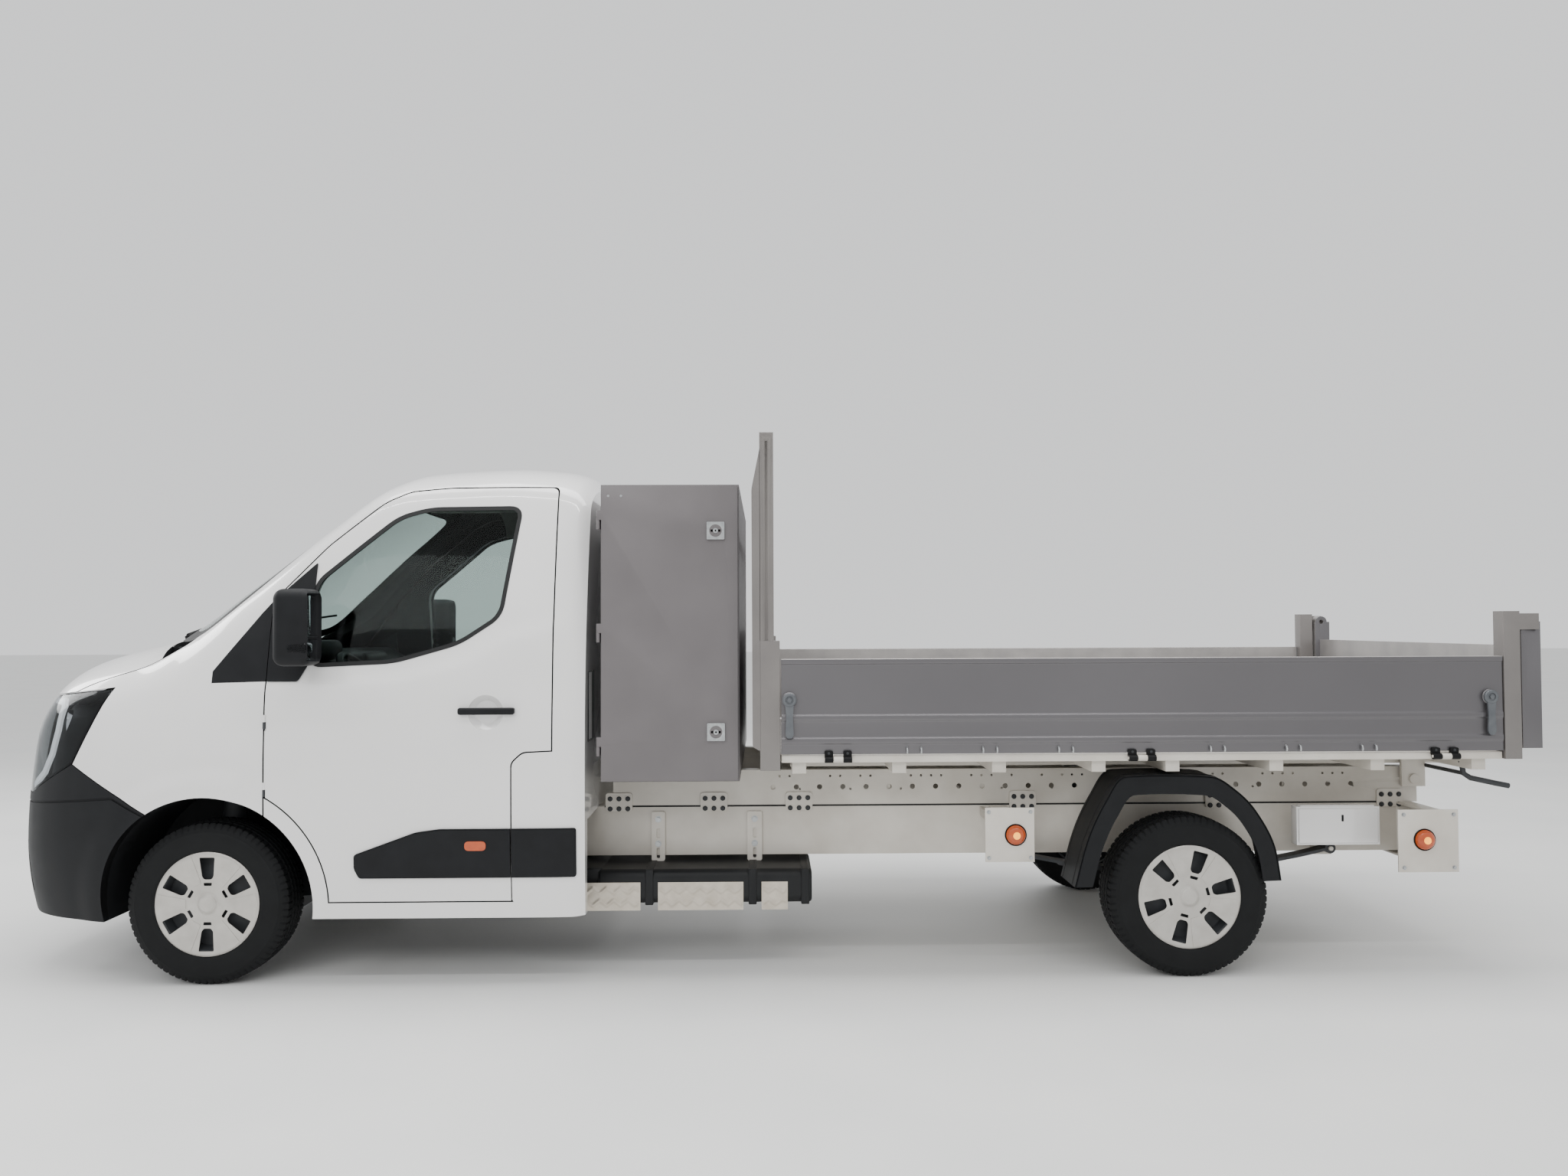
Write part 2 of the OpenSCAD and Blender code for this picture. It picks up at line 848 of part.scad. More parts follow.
module dashboard() {
  color("#3a3b3d") {
    difference() {
      rotate([90, 0, 0])
        linear_extrude(height = 2 * dash_half, center = true)
          polygon([for (s = dash_shares) [dash_x + s[0] * dash_len, dash_low + s[1] * dash_h]]);
      both_sides()
        block([-reach, dash_x], [-reach, -shelf_half], [-reach, reach]);
      on_column()
        translate([0, 0, -column_len - seat_fit])
          cylinder(r = column_r + seat_fit, h = column_len);
    }
    block(cowl_stay_x, [-cowl_stay_half, cowl_stay_half],
      [dash_low + dash_h - cowl_stay_lap, cab_z(cowl_seat_share) - cowl_depth - cowl_t]);
  }
}

module steering_wheel() {
  color("#222325")
    on_column() {
      rotate_extrude()
        translate([steering_r - steering_tube, 0])
          circle(r = steering_tube);
      translate([0, 0, -boss_t])
        cylinder(r = boss_r, h = boss_t);
      translate([0, 0, -column_len])
        cylinder(r = column_r, h = column_len - boss_t / 2);
      for (i = [0 : spoke_count - 1])
        rotate([0, 0, 360 * i / spoke_count])
          translate([boss_r / 2, -spoke_w / 2, -spoke_t])
            cube([steering_r - steering_tube - boss_r / 2, spoke_w, spoke_t]);
    }
}

// Seats: side outline in shares of the seat's length and height over its box
seat_h = 860;
seat_shares = [[0.02, 0], [0, 0.08], [0.06, 0.16], [0.55, 0.13], [0.72, 0.62], [0.79, 0.74], [0.78, 0.98],
  [0.84, 1], [0.98, 0.97], [1.02, 0.7], [1.06, 0.6], [0.94, 0.1], [0.9, 0]];

module seats() {
  color("#4a4c4f")
    for (y = [driver_y, bench_y])
      translate([0, y[1], 0])
        rotate([90, 0, 0])
          linear_extrude(height = y[1] - y[0])
            polygon([for (s = seat_shares) [seat_x + s[0] * seat_len, seat_box_top + s[1] * seat_h]]);
}

// Chassis: front longitudinals, then the rails behind them
member_y = [-460, -390];
member_z = [480, 600];
member_front = -860;
rail_front = 540;
bar_in = [400, 325];
bar_x = [rear_x - bar_in[0], rear_x - bar_in[1]];
engine_x = [-800, -270];
engine_half = 350;
engine_z = [330, 1050];
engine_foot_x = [-600, -480];

module engine() {
  color("#55585c") {
    block(engine_x, [-engine_half, engine_half], engine_z);
    block(engine_foot_x, [member_y[1], -member_y[1]], member_z);
  }
}

// Rear springs hang from pins on the rails
eye_r = 24;
eye_pin_r = 10;
spring_y = [-680, -610];
spring_rise = 95;
hanger_half = 42;
hanger_t = 38;
spring_eye_z = tyre_r + axle_r + leaf_t + spring_rise;
spring_steps = 12;
spring_share = 0.66;
saddle_half = 55;

module spring_hangers() {
  for (x = [wheelbase - spring_half, wheelbase + spring_half]) {
    block([x - hanger_half, x + hanger_half], [-rail_half - hanger_t, -rail_half],
      [spring_eye_z - hanger_half, rail_top - rail_t]);
    bar_y([x, spring_eye_z], eye_pin_r, [spring_y[0] - eye_pin_r, -rail_half]);
  }
}

// A channel along the truck, web outside
module channel(x, low, h) {
  difference() {
    block(x, [-rail_half, -rail_half + rail_flange], [low, low + h]);
    block([x[0] - cut, x[1] + cut], [-rail_half + rail_t, -rail_half + rail_flange + cut],
      [low + rail_t, low + h - rail_t]);
  }
}

module frame_rails() {
  color("#c8c2b8")
    both_sides() {
      channel([rail_front, bar_x[0]], rail_low, rail_h);
      block([member_front, rail_front + rail_flange], member_y, member_z);
      block([rail_front, rail_front + rail_flange], [-rail_half + rail_t / 2, member_y[1]], member_z);
      spring_hangers();
    }
}

// Cross tubes of the frame, and the cradle that carries the tipping cylinder
cross_w = 70;
cross_half = rail_half - rail_t;
cross_margin = 23;
ram_x = hinge_x - ram_lever;
ram_base_x = ram_x + ram_base_aft;
cradle_gap = 190;
frame_cross_first = 1250;
frame_cross_shares = [0, 0.58, 0.8];
frame_cross_aft = 580;
frame_cross_run = ram_base_x - cradle_gap - cross_w - frame_cross_first;
frame_cross_x = concat([for (s = frame_cross_shares) frame_cross_first + s * frame_cross_run],
  [rear_x - frame_cross_aft]);
cradle_y = [-100, -86];
cradle_low = 500;
cradle_h = 90;
lug_half = 60;
lug_drop = 45;
trunnion_r = 20;

module cross_tube(x, low, h) {
  block([x, x + cross_w], [-cross_half, cross_half], [low + cross_margin, low + h - cross_margin]);
}

module frame_crossmembers() {
  color("#c8c2b8") {
    for (x = concat(frame_cross_x, [ram_base_x - cradle_gap - cross_w, ram_base_x + cradle_gap]))
      cross_tube(x, rail_low, rail_h);
    both_sides()
      difference() {
        union() {
          block([ram_base_x - cradle_gap - cross_w / 2, ram_base_x + cradle_gap + cross_w / 2], cradle_y,
            [cradle_low, cradle_low + cradle_h]);
          block([ram_base_x - lug_half, ram_base_x + lug_half], cradle_y,
            [ram_base_z - lug_drop, cradle_low + cradle_h / 2]);
        }
        bar_y([ram_base_x, ram_base_z], trunnion_r + pin_fit, [cradle_y[0] - cut, cradle_y[1] + cut]);
      }
  }
}

// Front suspension: the steering axis passes inboard of the wheel and leans in at the top
steer_in = 101;
ball_z = 205;
arm_t = 34;
arm_half = 36;
arm_in = 420;
stud_r = 14;
stud_len = 55;
strut_r = 28;
strut_low = 230;
strut_top = 740;
spring_r = 52;
spring_z = [640, 770];
carrier_r = 62;
carrier_len = 74;
carrier_out = 30;
hub_pin_len = 60;
beam_x = [-130, 190];
beam_half = 460;
beam_z = [200, 300];
post_x = [-110, 170];
post_w = 40;

function steer_y(z) = -track / 2 + steer_in + (z - tyre_r) * tan(steer_lean);

module steer_bar(r, low, high) {
  translate([0, steer_y(low), low])
    rotate([-steer_lean, 0, 0])
      cylinder(r = r, h = (high - low) / cos(steer_lean));
}

module front_subframe() {
  tip_y = steer_y(ball_z) - arm_half;
  color("#3c3e41") {
    block(beam_x, [-beam_half, beam_half], beam_z);
    both_sides() {
      for (x = post_x)
        block([x - post_w / 2, x + post_w / 2], member_y, [beam_z[1] - cut, member_z[0]]);
      translate([0, 0, ball_z - arm_t / 2])
        linear_extrude(height = arm_t)
          polygon([[beam_x[0], -arm_in], [beam_x[1], -arm_in], [arm_half, tip_y], [-arm_half, tip_y]]);
      steer_bar(stud_r, ball_z, ball_z + stud_len);
    }
  }
}

module knuckle() {
  color("#55585c")
    difference() {
      union() {
        steer_bar(strut_r, strut_low, strut_top);
        steer_bar(spring_r, spring_z[0], spring_z[1]);
        bar_y([0, tyre_r], carrier_r, [-track / 2 + carrier_out, -track / 2 + carrier_out + carrier_len]);
        bar_y([0, tyre_r], hub_pin_r, [-track / 2 - hub_pin_len, -track / 2 + carrier_out + carrier_len]);
      }
      steer_bar(stud_r + pin_fit, ball_z, ball_z + stud_len + cut / 2);
    }
}

// Rear axle with its brake drums, stub axles and leaf springs
drum_r = 120;
drum_len = 140;

function leaf_pts(half, low) =
  let (top = [for (i = [0 : spring_steps]) let (x = (2 * i / spring_steps - 1) * half)
    [wheelbase + x, spring_eye_z - spring_rise * (1 - pow(x / spring_half, 2)) - low]])
  concat([for (p = top) [p[0], p[1] + leaf_t / 2]],
    [for (i = [spring_steps : -1 : 0]) [top[i][0], top[i][1] - leaf_t / 2]]);

module along_y(y) {
  translate([0, y[1], 0])
    rotate([90, 0, 0])
      linear_extrude(height = y[1] - y[0])
        children();
}

module leaf_spring() {
  ends = [wheelbase - spring_half, wheelbase + spring_half];
  difference() {
    union() {
      along_y(spring_y)
        polygon(leaf_pts(spring_half, 0));
      along_y(spring_y)
        polygon(leaf_pts(spring_share * spring_half, leaf_t / 2));
      for (x = ends)
        bar_y([x, spring_eye_z], eye_r, spring_y);
      block([wheelbase - saddle_half, wheelbase + saddle_half], spring_y,
        [tyre_r + axle_r / 2, spring_eye_z - spring_rise]);
    }
    for (x = ends)
      bar_y([x, spring_eye_z], eye_pin_r + seat_fit, [spring_y[0] - cut, spring_y[1] + cut]);
  }
}

module rear_axle() {
  inner = track / 2 - carrier_out;
  color("#3c3e41") {
    bar_y([wheelbase, tyre_r], axle_r, [-inner, inner]);
    both_sides() {
      bar_y([wheelbase, tyre_r], drum_r, [-inner, -inner + drum_len]);
      bar_y([wheelbase, tyre_r], hub_pin_r, [-track / 2 - hub_pin_len, -inner + drum_len]);
      leaf_spring();
    }
  }
}

// Wheels: drawn about Z with the outer side up, then set at the end of an axle
tyre_shares = [[0, 0.74], [0.14, 0.94], [0.45, 1], [0.86, 0.9], [1, 0.7]];
barrel_t = 10;
disc_z = [35, 47];
hub_boss_r = 80;
hub_boss_z = [-25, 55];
cover_low = 88;
cover_h = 24;
cover_shares = [[0, 1], [0.17, 0.96], [0.2, 0.58], [0.5, 0.58], [0.86, 0.92], [0.96, 0.96], [1, 0.84]];
cover_t = 6;
slot_in = 107;
slot_out = 196;
slot_in_w = 36;
slot_out_w = 63;

module wheel_place(x) {
  translate([x, -track / 2, tyre_r])
    rotate([90, 0, 0])
      children();
}

module tyre() {
  color("#222325")
    rotate_extrude()
      polygon(concat(
        [for (s = tyre_shares) [rim_r + s[0] * (tyre_r - rim_r), s[1] * tyre_w / 2]],
        [for (i = [len(tyre_shares) - 1 : -1 : 0]) let (s = tyre_shares[i])
          [rim_r + s[0] * (tyre_r - rim_r), -s[1] * tyre_w / 2]]));
}

module ring(r_in, r_out, z) {
  translate([0, 0, z[0]])
    difference() {
      cylinder(r = r_out, h = z[1] - z[0]);
      translate([0, 0, -cut])
        cylinder(r = r_in, h = z[1] - z[0] + 2 * cut);
    }
}

module wheel_cover() {
  pts = [for (s = cover_shares) [s[0] * cover_r, cover_low + s[1] * cover_h]];
  difference() {
    rotate_extrude()
      polygon(concat(pts, [for (i = [len(pts) - 1 : -1 : 0]) [pts[i][0], pts[i][1] - cover_t]]));
    for (i = [0 : cover_slots - 1])
      rotate([0, 0, 360 * i / cover_slots])
        translate([0, 0, cover_low - cut])
          linear_extrude(height = reach)
            polygon([[slot_in, -slot_in_w / 2], [slot_out, -slot_out_w / 2], [slot_out, slot_out_w / 2],
              [slot_in, slot_in_w / 2]]);
  }
}

module rim() {
  outer = rim_r - seat_fit;
  inner = outer - barrel_t;
  color("#b9b5af") {
    ring(inner, outer, [-rim_w / 2, rim_w / 2]);
    ring(hub_pin_r + pin_fit, inner + barrel_t / 2, disc_z);
    ring(hub_pin_r + pin_fit, hub_boss_r, hub_boss_z);
    ring(inner, outer - barrel_t / 4, [rim_w / 2 - cut, cover_low + cover_h - cover_t / 2]);
    wheel_cover();
  }
}

// Fuel tank, its shields and its brackets on the left rail
tank_x = [1640, 2590];
tank_y = [-790, -380];
tank_z = [290, 440];
tank_round = 40;
shield_x = [[1555, 1828], [1906, 2285], [2366, 2482]];
shield_z = [264, 387];
shield_t = 6;
bracket_x = [[1858, 1920], [2300, 2368]];
bracket_t = 12;
bracket_top = 666;

module fuel_tank() {
  color("#3a3b3d")
    translate([tank_x[0], 0, 0])
      rotate([90, 0, 90])
        linear_extrude(height = tank_x[1] - tank_x[0])
          offset(r = tank_round)
            translate([tank_y[0] + tank_round, tank_z[0] + tank_round])
              square([tank_y[1] - tank_y[0] - 2 * tank_round, tank_z[1] - tank_z[0] - 2 * tank_round]);
}

module heat_shields() {
  color("#c9bfb0") {
    for (x = shield_x)
      block(x, [tank_y[0] - shield_t, tank_y[0]], shield_z);
    for (x = bracket_x)
      block(x, [-rail_half - bracket_t, -rail_half], [tank_z[1], bracket_top]);
  }
}

// Rear mudguards: outline over the wheel in shares of their half length and height
guard_y = [-995, -745];
guard_ahead = 55;
guard_x = wheelbase - guard_ahead;
guard_half = 445;
guard_low = 394;
guard_h = 475;
guard_t = 8;
guard_shares = [[-1, 0], [-0.88, 0.41], [-0.51, 1], [0.34, 0.99], [0.77, 0.67], [0.95, 0.33], [1, 0.05]];
stay_aft = [-225, 45];
stay_x = [for (d = stay_aft) wheelbase + d];
stay_w = 24;
stay_z = [820, 848];
stay_post = 20;

module rear_mudguards() {
  pts = [for (s = guard_shares) [guard_x + s[0] * guard_half, guard_low + s[1] * guard_h]];
  color("#33353a")
    both_sides() {
      along_y(guard_y)
        difference() {
          polygon(pts);
          offset(delta = -guard_t)
            polygon(concat(pts, [[pts[6][0], -reach], [pts[0][0], -reach]]));
        }
      for (x = stay_x) {
        block([x, x + stay_w], [guard_y[1] - stay_post, -rail_half], stay_z);
        block([x, x + stay_w], [guard_y[1] - stay_post, guard_y[1]],
          [stay_z[0], guard_low + guard_h - guard_t / 2]);
      }
    }
}

// Rear bar with lamp plates, tow bolt holes, side lamp plates and the pump box
bar_z = [440, rail_top];
plate_z = [440, 711];
bar_half = 950;
bar_t = 15;
bar_plate_in = 589;
bar_plate_x = rear_x - bar_plate_in;
tow_w = 83;
tow_h = 56;
tow_z = 575;
tow_r = 5.5;
mid_ahead = [869, 654];
mid_x = [for (d = mid_ahead) wheelbase - d];
mid_z = [487, 723];
mid_y = [-900, -894];
mid_arm_ahead = [835, 815];
mid_arm_x = [for (d = mid_arm_ahead) wheelbase - d];
mid_arm_lap = 5;
mid_arm_z = [640, 680];
pump_in = [955, 579];
pump_x = [for (d = pump_in) rear_x - d];
pump_y = [-765, -705];
pump_z = [528, 699];
pump_arm_in = [670, 610];
pump_arm_x = [for (d = pump_arm_in) rear_x - d];
pump_arm_z = [600, 640];

module rear_bar() {
  color("#c8c2b8") {
    difference() {
      union() {
        block([bar_x[1] - bar_t, bar_x[1]], [-bar_half, bar_half], bar_z);
        for (z = [bar_z[0], bar_z[1] - rail_t])
          block(bar_x, [-bar_half, bar_half], [z, z + rail_t]);
        both_sides() {
          block([bar_plate_x, bar_x[1]], [-bar_half, -bar_half + rail_t], plate_z);
          block(bar_x, [-rail_half, -rail_half + rail_flange], [rail_low, rail_top]);
        }
      }
      for (y = [-tow_w / 2, tow_w / 2])
        for (z = [tow_z - tow_h / 2, tow_z + tow_h / 2])
          translate([bar_x[1] - bar_t - cut, y, z])
            rotate([0, 90, 0])
              cylinder(r = tow_r, h = bar_t + 2 * cut);
    }
    both_sides() {
      block(mid_x, mid_y, mid_z);
      block(mid_arm_x, [mid_y[1] - mid_arm_lap, -rail_half], mid_arm_z);
    }
    block(pump_x, pump_y, pump_z);
    block(pump_arm_x, [pump_y[1] - cut, -rail_half], pump_arm_z);
  }
}

marker_r = 33;
marker_t = 22;
marker_ahead = 736;
marker_in = 475;
marker_z = [605, 581];
marker_at = [[wheelbase - marker_ahead, marker_z[0]], [rear_x - marker_in, marker_z[1]]];
tail_y = [-900, -640];
tail_z = [490, 650];
tail_t = 34;

module lamps() {
  color("#c9772b")
    both_sides() {
      bar_y(marker_at[0], marker_r, [mid_y[0] - marker_t, mid_y[0]]);
      bar_y(marker_at[1], marker_r, [-bar_half - marker_t, -bar_half]);
      block([bar_x[1], bar_x[1] + tail_t], tail_y, tail_z);
    }
}

// Tipper subframe on the rails
sub_front = 1680;
sub_tail = 30;
sub_x = [sub_front, hinge_x + sub_tail];
sub_cross_first = 1760;
sub_cross_ahead = 210;
sub_cross_shares = [0, 0.3232, 0.5758, 0.803, 1];
sub_cross_behind = [1070, 600, 100];
sub_cross_run = ram_x - sub_cross_ahead - sub_cross_first;
sub_cross_x = concat([for (s = sub_cross_shares) sub_cross_first + s * sub_cross_run],
  [for (d = sub_cross_behind) hinge_x - d]);
sub_hole_first = 2420;
sub_hole_end = 280;
sub_hole_count = 26;
sub_hole_pitch = (hinge_x - sub_hole_end - sub_hole_first) / (sub_hole_count - 1);
sub_hole_r = 12;
sub_hole_z = 775;
hinge_pin_r = 22;
hinge_pin_y = [-602, -545];

module subframe_rails() {
  color("#c8c2b8")
    both_sides() {
      difference() {
        channel(sub_x, rail_top, subframe_h);
        for (i = [0 : sub_hole_count - 1])
          bar_y([sub_hole_first + i * sub_hole_pitch, sub_hole_z], sub_hole_r,
            [-rail_half - cut, -rail_half + rail_t + cut]);
      }
      bar_y([hinge_x, hinge_z], hinge_pin_r, hinge_pin_y);
    }
}

module subframe_crossmembers() {
  color("#c8c2b8")
    for (x = sub_cross_x)
      cross_tube(x, rail_top, subframe_h);
}

// Tool locker across the truck, doors hinged at their front edges
locker_half = 972;
locker_gap = 6;
locker_pin_ahead = 8;
locker_pin_out = 23;
locker_pin_x = locker_x - locker_pin_ahead;
locker_pin_y = -locker_half - locker_pin_out;
locker_knuckle_r = 8;
locker_pin_r = 4;
locker_knuckle_h = 40;
locker_hinge_shares = [0.12, 0.5, 0.88];
locker_bracket = 30;
latch_x = 2174;
latch_z_shares = [0.168, 0.842];
latch_half = 38;
latch_t = 10;

module locker_body() {
  x = [locker_x, locker_x + locker_len];
  z = [subframe_top, subframe_top + locker_h];
  color("#7f7b7d") {
    difference() {
      block(x, [-locker_half, locker_half], z);
      block([x[0] + locker_t, x[1] - locker_t], [-reach, reach], [z[0] + locker_t, z[1] - locker_t]);
    }
    both_sides()
      for (s = locker_hinge_shares) {
        low = z[0] + s * locker_h - locker_knuckle_h;
        translate([locker_pin_x, locker_pin_y, low]) {
          cylinder(r = locker_knuckle_r, h = locker_knuckle_h);
          cylinder(r = locker_pin_r, h = 2 * locker_knuckle_h);
        }
        block([locker_pin_x - locker_knuckle_r, locker_x], [locker_pin_y, locker_bracket - locker_half],
          [low, low + locker_knuckle_h]);
      }
  }
}

module locker_door() {
  x = [locker_x + locker_gap, locker_x + locker_len - locker_gap];
  y = [-locker_half - locker_gap - locker_t, -locker_half - locker_gap];
  z = [subframe_top + locker_gap, subframe_top + locker_h - locker_gap];
  color("#7f7b7d") {
    block(x, y, z);
    for (s = latch_z_shares)
      block([latch_x - latch_half, latch_x + latch_half], [y[0] - latch_t, y[0]],
        [subframe_top + s * locker_h - latch_half, subframe_top + s * locker_h + latch_half]);
    for (s = locker_hinge_shares)
      translate([locker_pin_x, locker_pin_y, subframe_top + s * locker_h + seat_fit])
        difference() {
          union() {
            cylinder(r = locker_knuckle_r, h = locker_knuckle_h);
            translate([0, -locker_knuckle_r, 0])
              cube([x[0] - locker_pin_x + locker_t, 2 * locker_knuckle_r, locker_knuckle_h]);
          }
          translate([0, 0, -cut])
            cylinder(r = locker_pin_r + pin_fit, h = locker_knuckle_h + 2 * cut);
        }
  }
}

// Tipping bed: floor on bearers and longerons, with hinge lugs and cylinder ears
bed_rear_in = 97;
bed_rear = rear_x - bed_rear_in;
floor_half = 975;
floor_rear_in = 70;
floor_rear = rear_x - floor_rear_in;
floor_tuck = 15;
edge_half = 1034;
side_gap = 6;
rear_post_len = 73;
side_x = [bed_x + post_len + side_gap, bed_rear - rear_post_len - side_gap];
panel_t = 30;
longeron_low = 870;
bearer_low = 890;
bearer_w = 60;
bearer_half = 1000;
bearer_first = 137;
bearer_ram_gap = 160;
bearers_ahead = 3;
bearer_in = [1073, 633, 193];
bearer_run = ram_x - bearer_ram_gap - bed_x - bearer_first;
bearer_x = concat([for (i = [0 : bearers_ahead]) bed_x + bearer_first + i * bearer_run / bearers_ahead],
  [ram_x + bearer_ram_gap], [for (d = bearer_in) bed_rear - d]);
lug_y = [-592, -572];
lug_w = 55;
lug_x = [hinge_x - lug_w, hinge_x + lug_w];
lug_low = 765;
ear_y = [-56, -44];
ear_half = 40;
ear_low = 835;
eye_bolt_r = 15;
side_axis_y = -1062;
side_axis_z = 955;
side_knuckle_r = 13;
side_pin_r = 6;
side_knuckle_w = 40;
side_pin_half = 60;
side_hinge_shares = [0.0777, 0.4958, 0.9168];
side_hinge_x = [for (s = side_hinge_shares) side_x[0] + s * (side_x[1] - side_x[0])];
side_arm_lap = 20;
side_arm_t = 14;

module bed_floor() {
  under = bed_top - bed_t;
  color("#a8a4a2") {
    difference() {
      union() {
        block([bed_x + panel_t, bed_rear], [-floor_half, floor_half], [under, bed_top]);
        block([bed_rear - cut, floor_rear], [floor_tuck - floor_half, floor_half - floor_tuck], [under, bed_top]);
        block([side_x[0], side_x[1]], [-edge_half, edge_half], [under, bed_top]);
        for (x = bearer_x)
          block([x, x + bearer_w], [-bearer_half, bearer_half], [bearer_low, under]);
        both_sides() {
          block([bearer_x[0], bed_rear - post_len], [-rail_half, -rail_half + rail_flange], [longeron_low, under]);
          block(lug_x, lug_y, [lug_low, under]);
          block([ram_x - ear_half, ram_x + ear_half], ear_y, [ear_low, under]);
          for (x = side_hinge_x) {
            bar_along_x([x - side_knuckle_w / 2, x + side_knuckle_w / 2], side_knuckle_r);
            bar_along_x([x - side_pin_half, x + side_pin_half], side_pin_r);
            block([x - side_knuckle_w / 2, x + side_knuckle_w / 2], [side_axis_y, side_arm_lap - edge_half],
              [side_axis_z - side_arm_t / 2, side_axis_z + side_arm_t / 2]);
          }
        }
        bar_y([ram_x, ram_eye_z], eye_bolt_r, [ear_y[0], -ear_y[0]]);
      }
      both_sides()
        bar_y([hinge_x, hinge_z], hinge_pin_r + pin_fit, [lug_y[0] - cut, lug_y[1] + cut]);
    }
  }
}

// A round bar on the drop side's hinge line
module bar_along_x(x, r) {
  translate([x[0], side_axis_y, side_axis_z])
    rotate([0, 90, 0])
      cylinder(r = r, h = x[1] - x[0]);
}

front_post_z = [908, 1460];
rear_post_x = [bed_rear - rear_post_len, bed_rear];
rear_post_z = [940, 1575];
ear_plate_t = 8;
gate_pin_in_x = 48;
gate_pin_x = rear_x - gate_pin_in_x;
gate_pin_z = 1530;
gate_pin_r = 12;
gate_pin_in = 992;
ear_plate_half = 35;

module bed_posts() {
  color("#a8a4a2")
    both_sides() {
      block([bed_x, bed_x + post_len], [-bed_half, -floor_half], front_post_z);
      block(rear_post_x, [-bed_half, -floor_half], rear_post_z);
      block([rear_post_x[0] + cut, gate_pin_x + ear_plate_half], [-bed_half, ear_plate_t - bed_half],
        [gate_pin_z - ear_plate_half, gate_pin_z + ear_plate_half]);
      bar_y([gate_pin_x, gate_pin_z], gate_pin_r, [-bed_half, -gate_pin_in]);
    }
}

// Headboard: low panel, and a barred frame on the front posts
frame_t = 60;
frame_bar = 45;
grid_bars = 9;
grid_rows = 2;
grid_t = 14;

module headboard() {
  low = front_post_z[1];
  h = headboard_top - low;
  inner = bed_half - frame_t;
  pitch = 2 * inner / (grid_bars + 1);
  color("#a8a4a2") {
    block([bed_x, bed_x + panel_t], [-floor_half, floor_half], [bed_top - bed_t, low]);
    both_sides()
      block([bed_x, bed_x + frame_t], [-bed_half, -inner], [low, headboard_top]);
    for (i = [0 : grid_rows])
      block([bed_x, bed_x + frame_t], [-inner - cut, inner + cut],
        [low + i * (h - frame_bar) / grid_rows, low + i * (h - frame_bar) / grid_rows + frame_bar]);
    for (i = [1 : grid_bars])
      block([bed_x + frame_t / 2 - grid_t / 2, bed_x + frame_t / 2 + grid_t / 2],
        [i * pitch - inner - grid_t / 2, i * pitch - inner + grid_t / 2], [low + cut, headboard_top - cut]);
  }
}

// Drop sides: outline across the side in shares of its thickness and height
side_low = bed_top + side_gap;
side_section_shares = [[0, 0], [0.8, 0], [0.8, 0.1], [1, 0.12], [1, 0.16], [0.8, 0.18], [0.8, 0.34], [1, 0.36],
  [1, 0.4], [0.8, 0.42], [0.8, 0.94], [1, 0.95], [1, 1], [0, 1]];
strap_w = 36;
strap_t = 6;
strap_in = 8;
strap_h = 150;
catch_in = [34, 59];
catch_x = [side_x[0] + catch_in[0], side_x[1] - catch_in[1]];
catch_z = [1080, 1235];
catch_w = 34;
catch_t = 25;

module drop_side() {
  outer = bed_half - side_t;
  color("#858385") {
    translate([side_x[0], 0, 0])
      rotate([90, 0, 90])
        linear_extrude(height = side_x[1] - side_x[0])
          polygon([for (s = side_section_shares) [-outer - s[0] * side_t, side_low + s[1] * side_h]]);
    for (x = side_hinge_x)
      for (d = [-side_knuckle_w, side_knuckle_w])
        difference() {
          union() {
            bar_along_x([x + d - strap_w / 2, x + d + strap_w / 2], side_knuckle_r);
            block([x + d - strap_w / 2, x + d + strap_w / 2], [-bed_half - strap_t, -bed_half + strap_in],
              [side_axis_z, side_axis_z + strap_h]);
          }
          bar_along_x([x + d - strap_w, x + d + strap_w], side_pin_r + pin_fit);
        }
    for (x = catch_x)
      block([x - catch_w / 2, x + catch_w / 2], [-bed_half - catch_t, -bed_half + side_t / 2], catch_z);
  }
}

// Tailgate hung from pins at the top of the rear posts
gate_in = [58, 14];
gate_x = [for (d = gate_in) rear_x - d];
gate_low = 985;
stile_len = 85;
stile_x = [rear_x - stile_len, rear_x];
stile_y = [-1036, -965];
stile_r = 33;

module tailgate() {
  color("#858385") {
    block(gate_x, [stile_y[1] - cut, cut - stile_y[1]], [gate_low, bed_top + tailgate_h]);
    both_sides()
      difference() {
        union() {
          block(stile_x, stile_y, [gate_low, gate_pin_z]);
          bar_y([gate_pin_x, gate_pin_z], stile_r, stile_y);
        }
        bar_y([gate_pin_x, gate_pin_z], gate_pin_r + pin_fit, [stile_y[0] - cut, stile_y[1] + cut]);
      }
  }
}

// Tipping cylinder: barrel on trunnions, two stages and a rod with a slotted eye
ram_lean = atan2(ram_base_aft, ram_eye_z - ram_base_z);
ram_len = sqrt(pow(ram_base_aft, 2) + pow(ram_eye_z - ram_base_z, 2));
stage_t = 10;
stage_fit = 1;
barrel_z = [-20, 400];
stage_1_z = [15, 410];
stage_2_z = [27, 420];
rod_low = 39;
head_half = 32;
head_w = 30;
head_low = 50;
head_high = 40;
slot_half = 20;
slot_low = 38;
slot_high = 28;

module on_ram() {
  translate([ram_base_x, 0, ram_base_z])
    rotate([0, -ram_lean, 0])
      children();
}

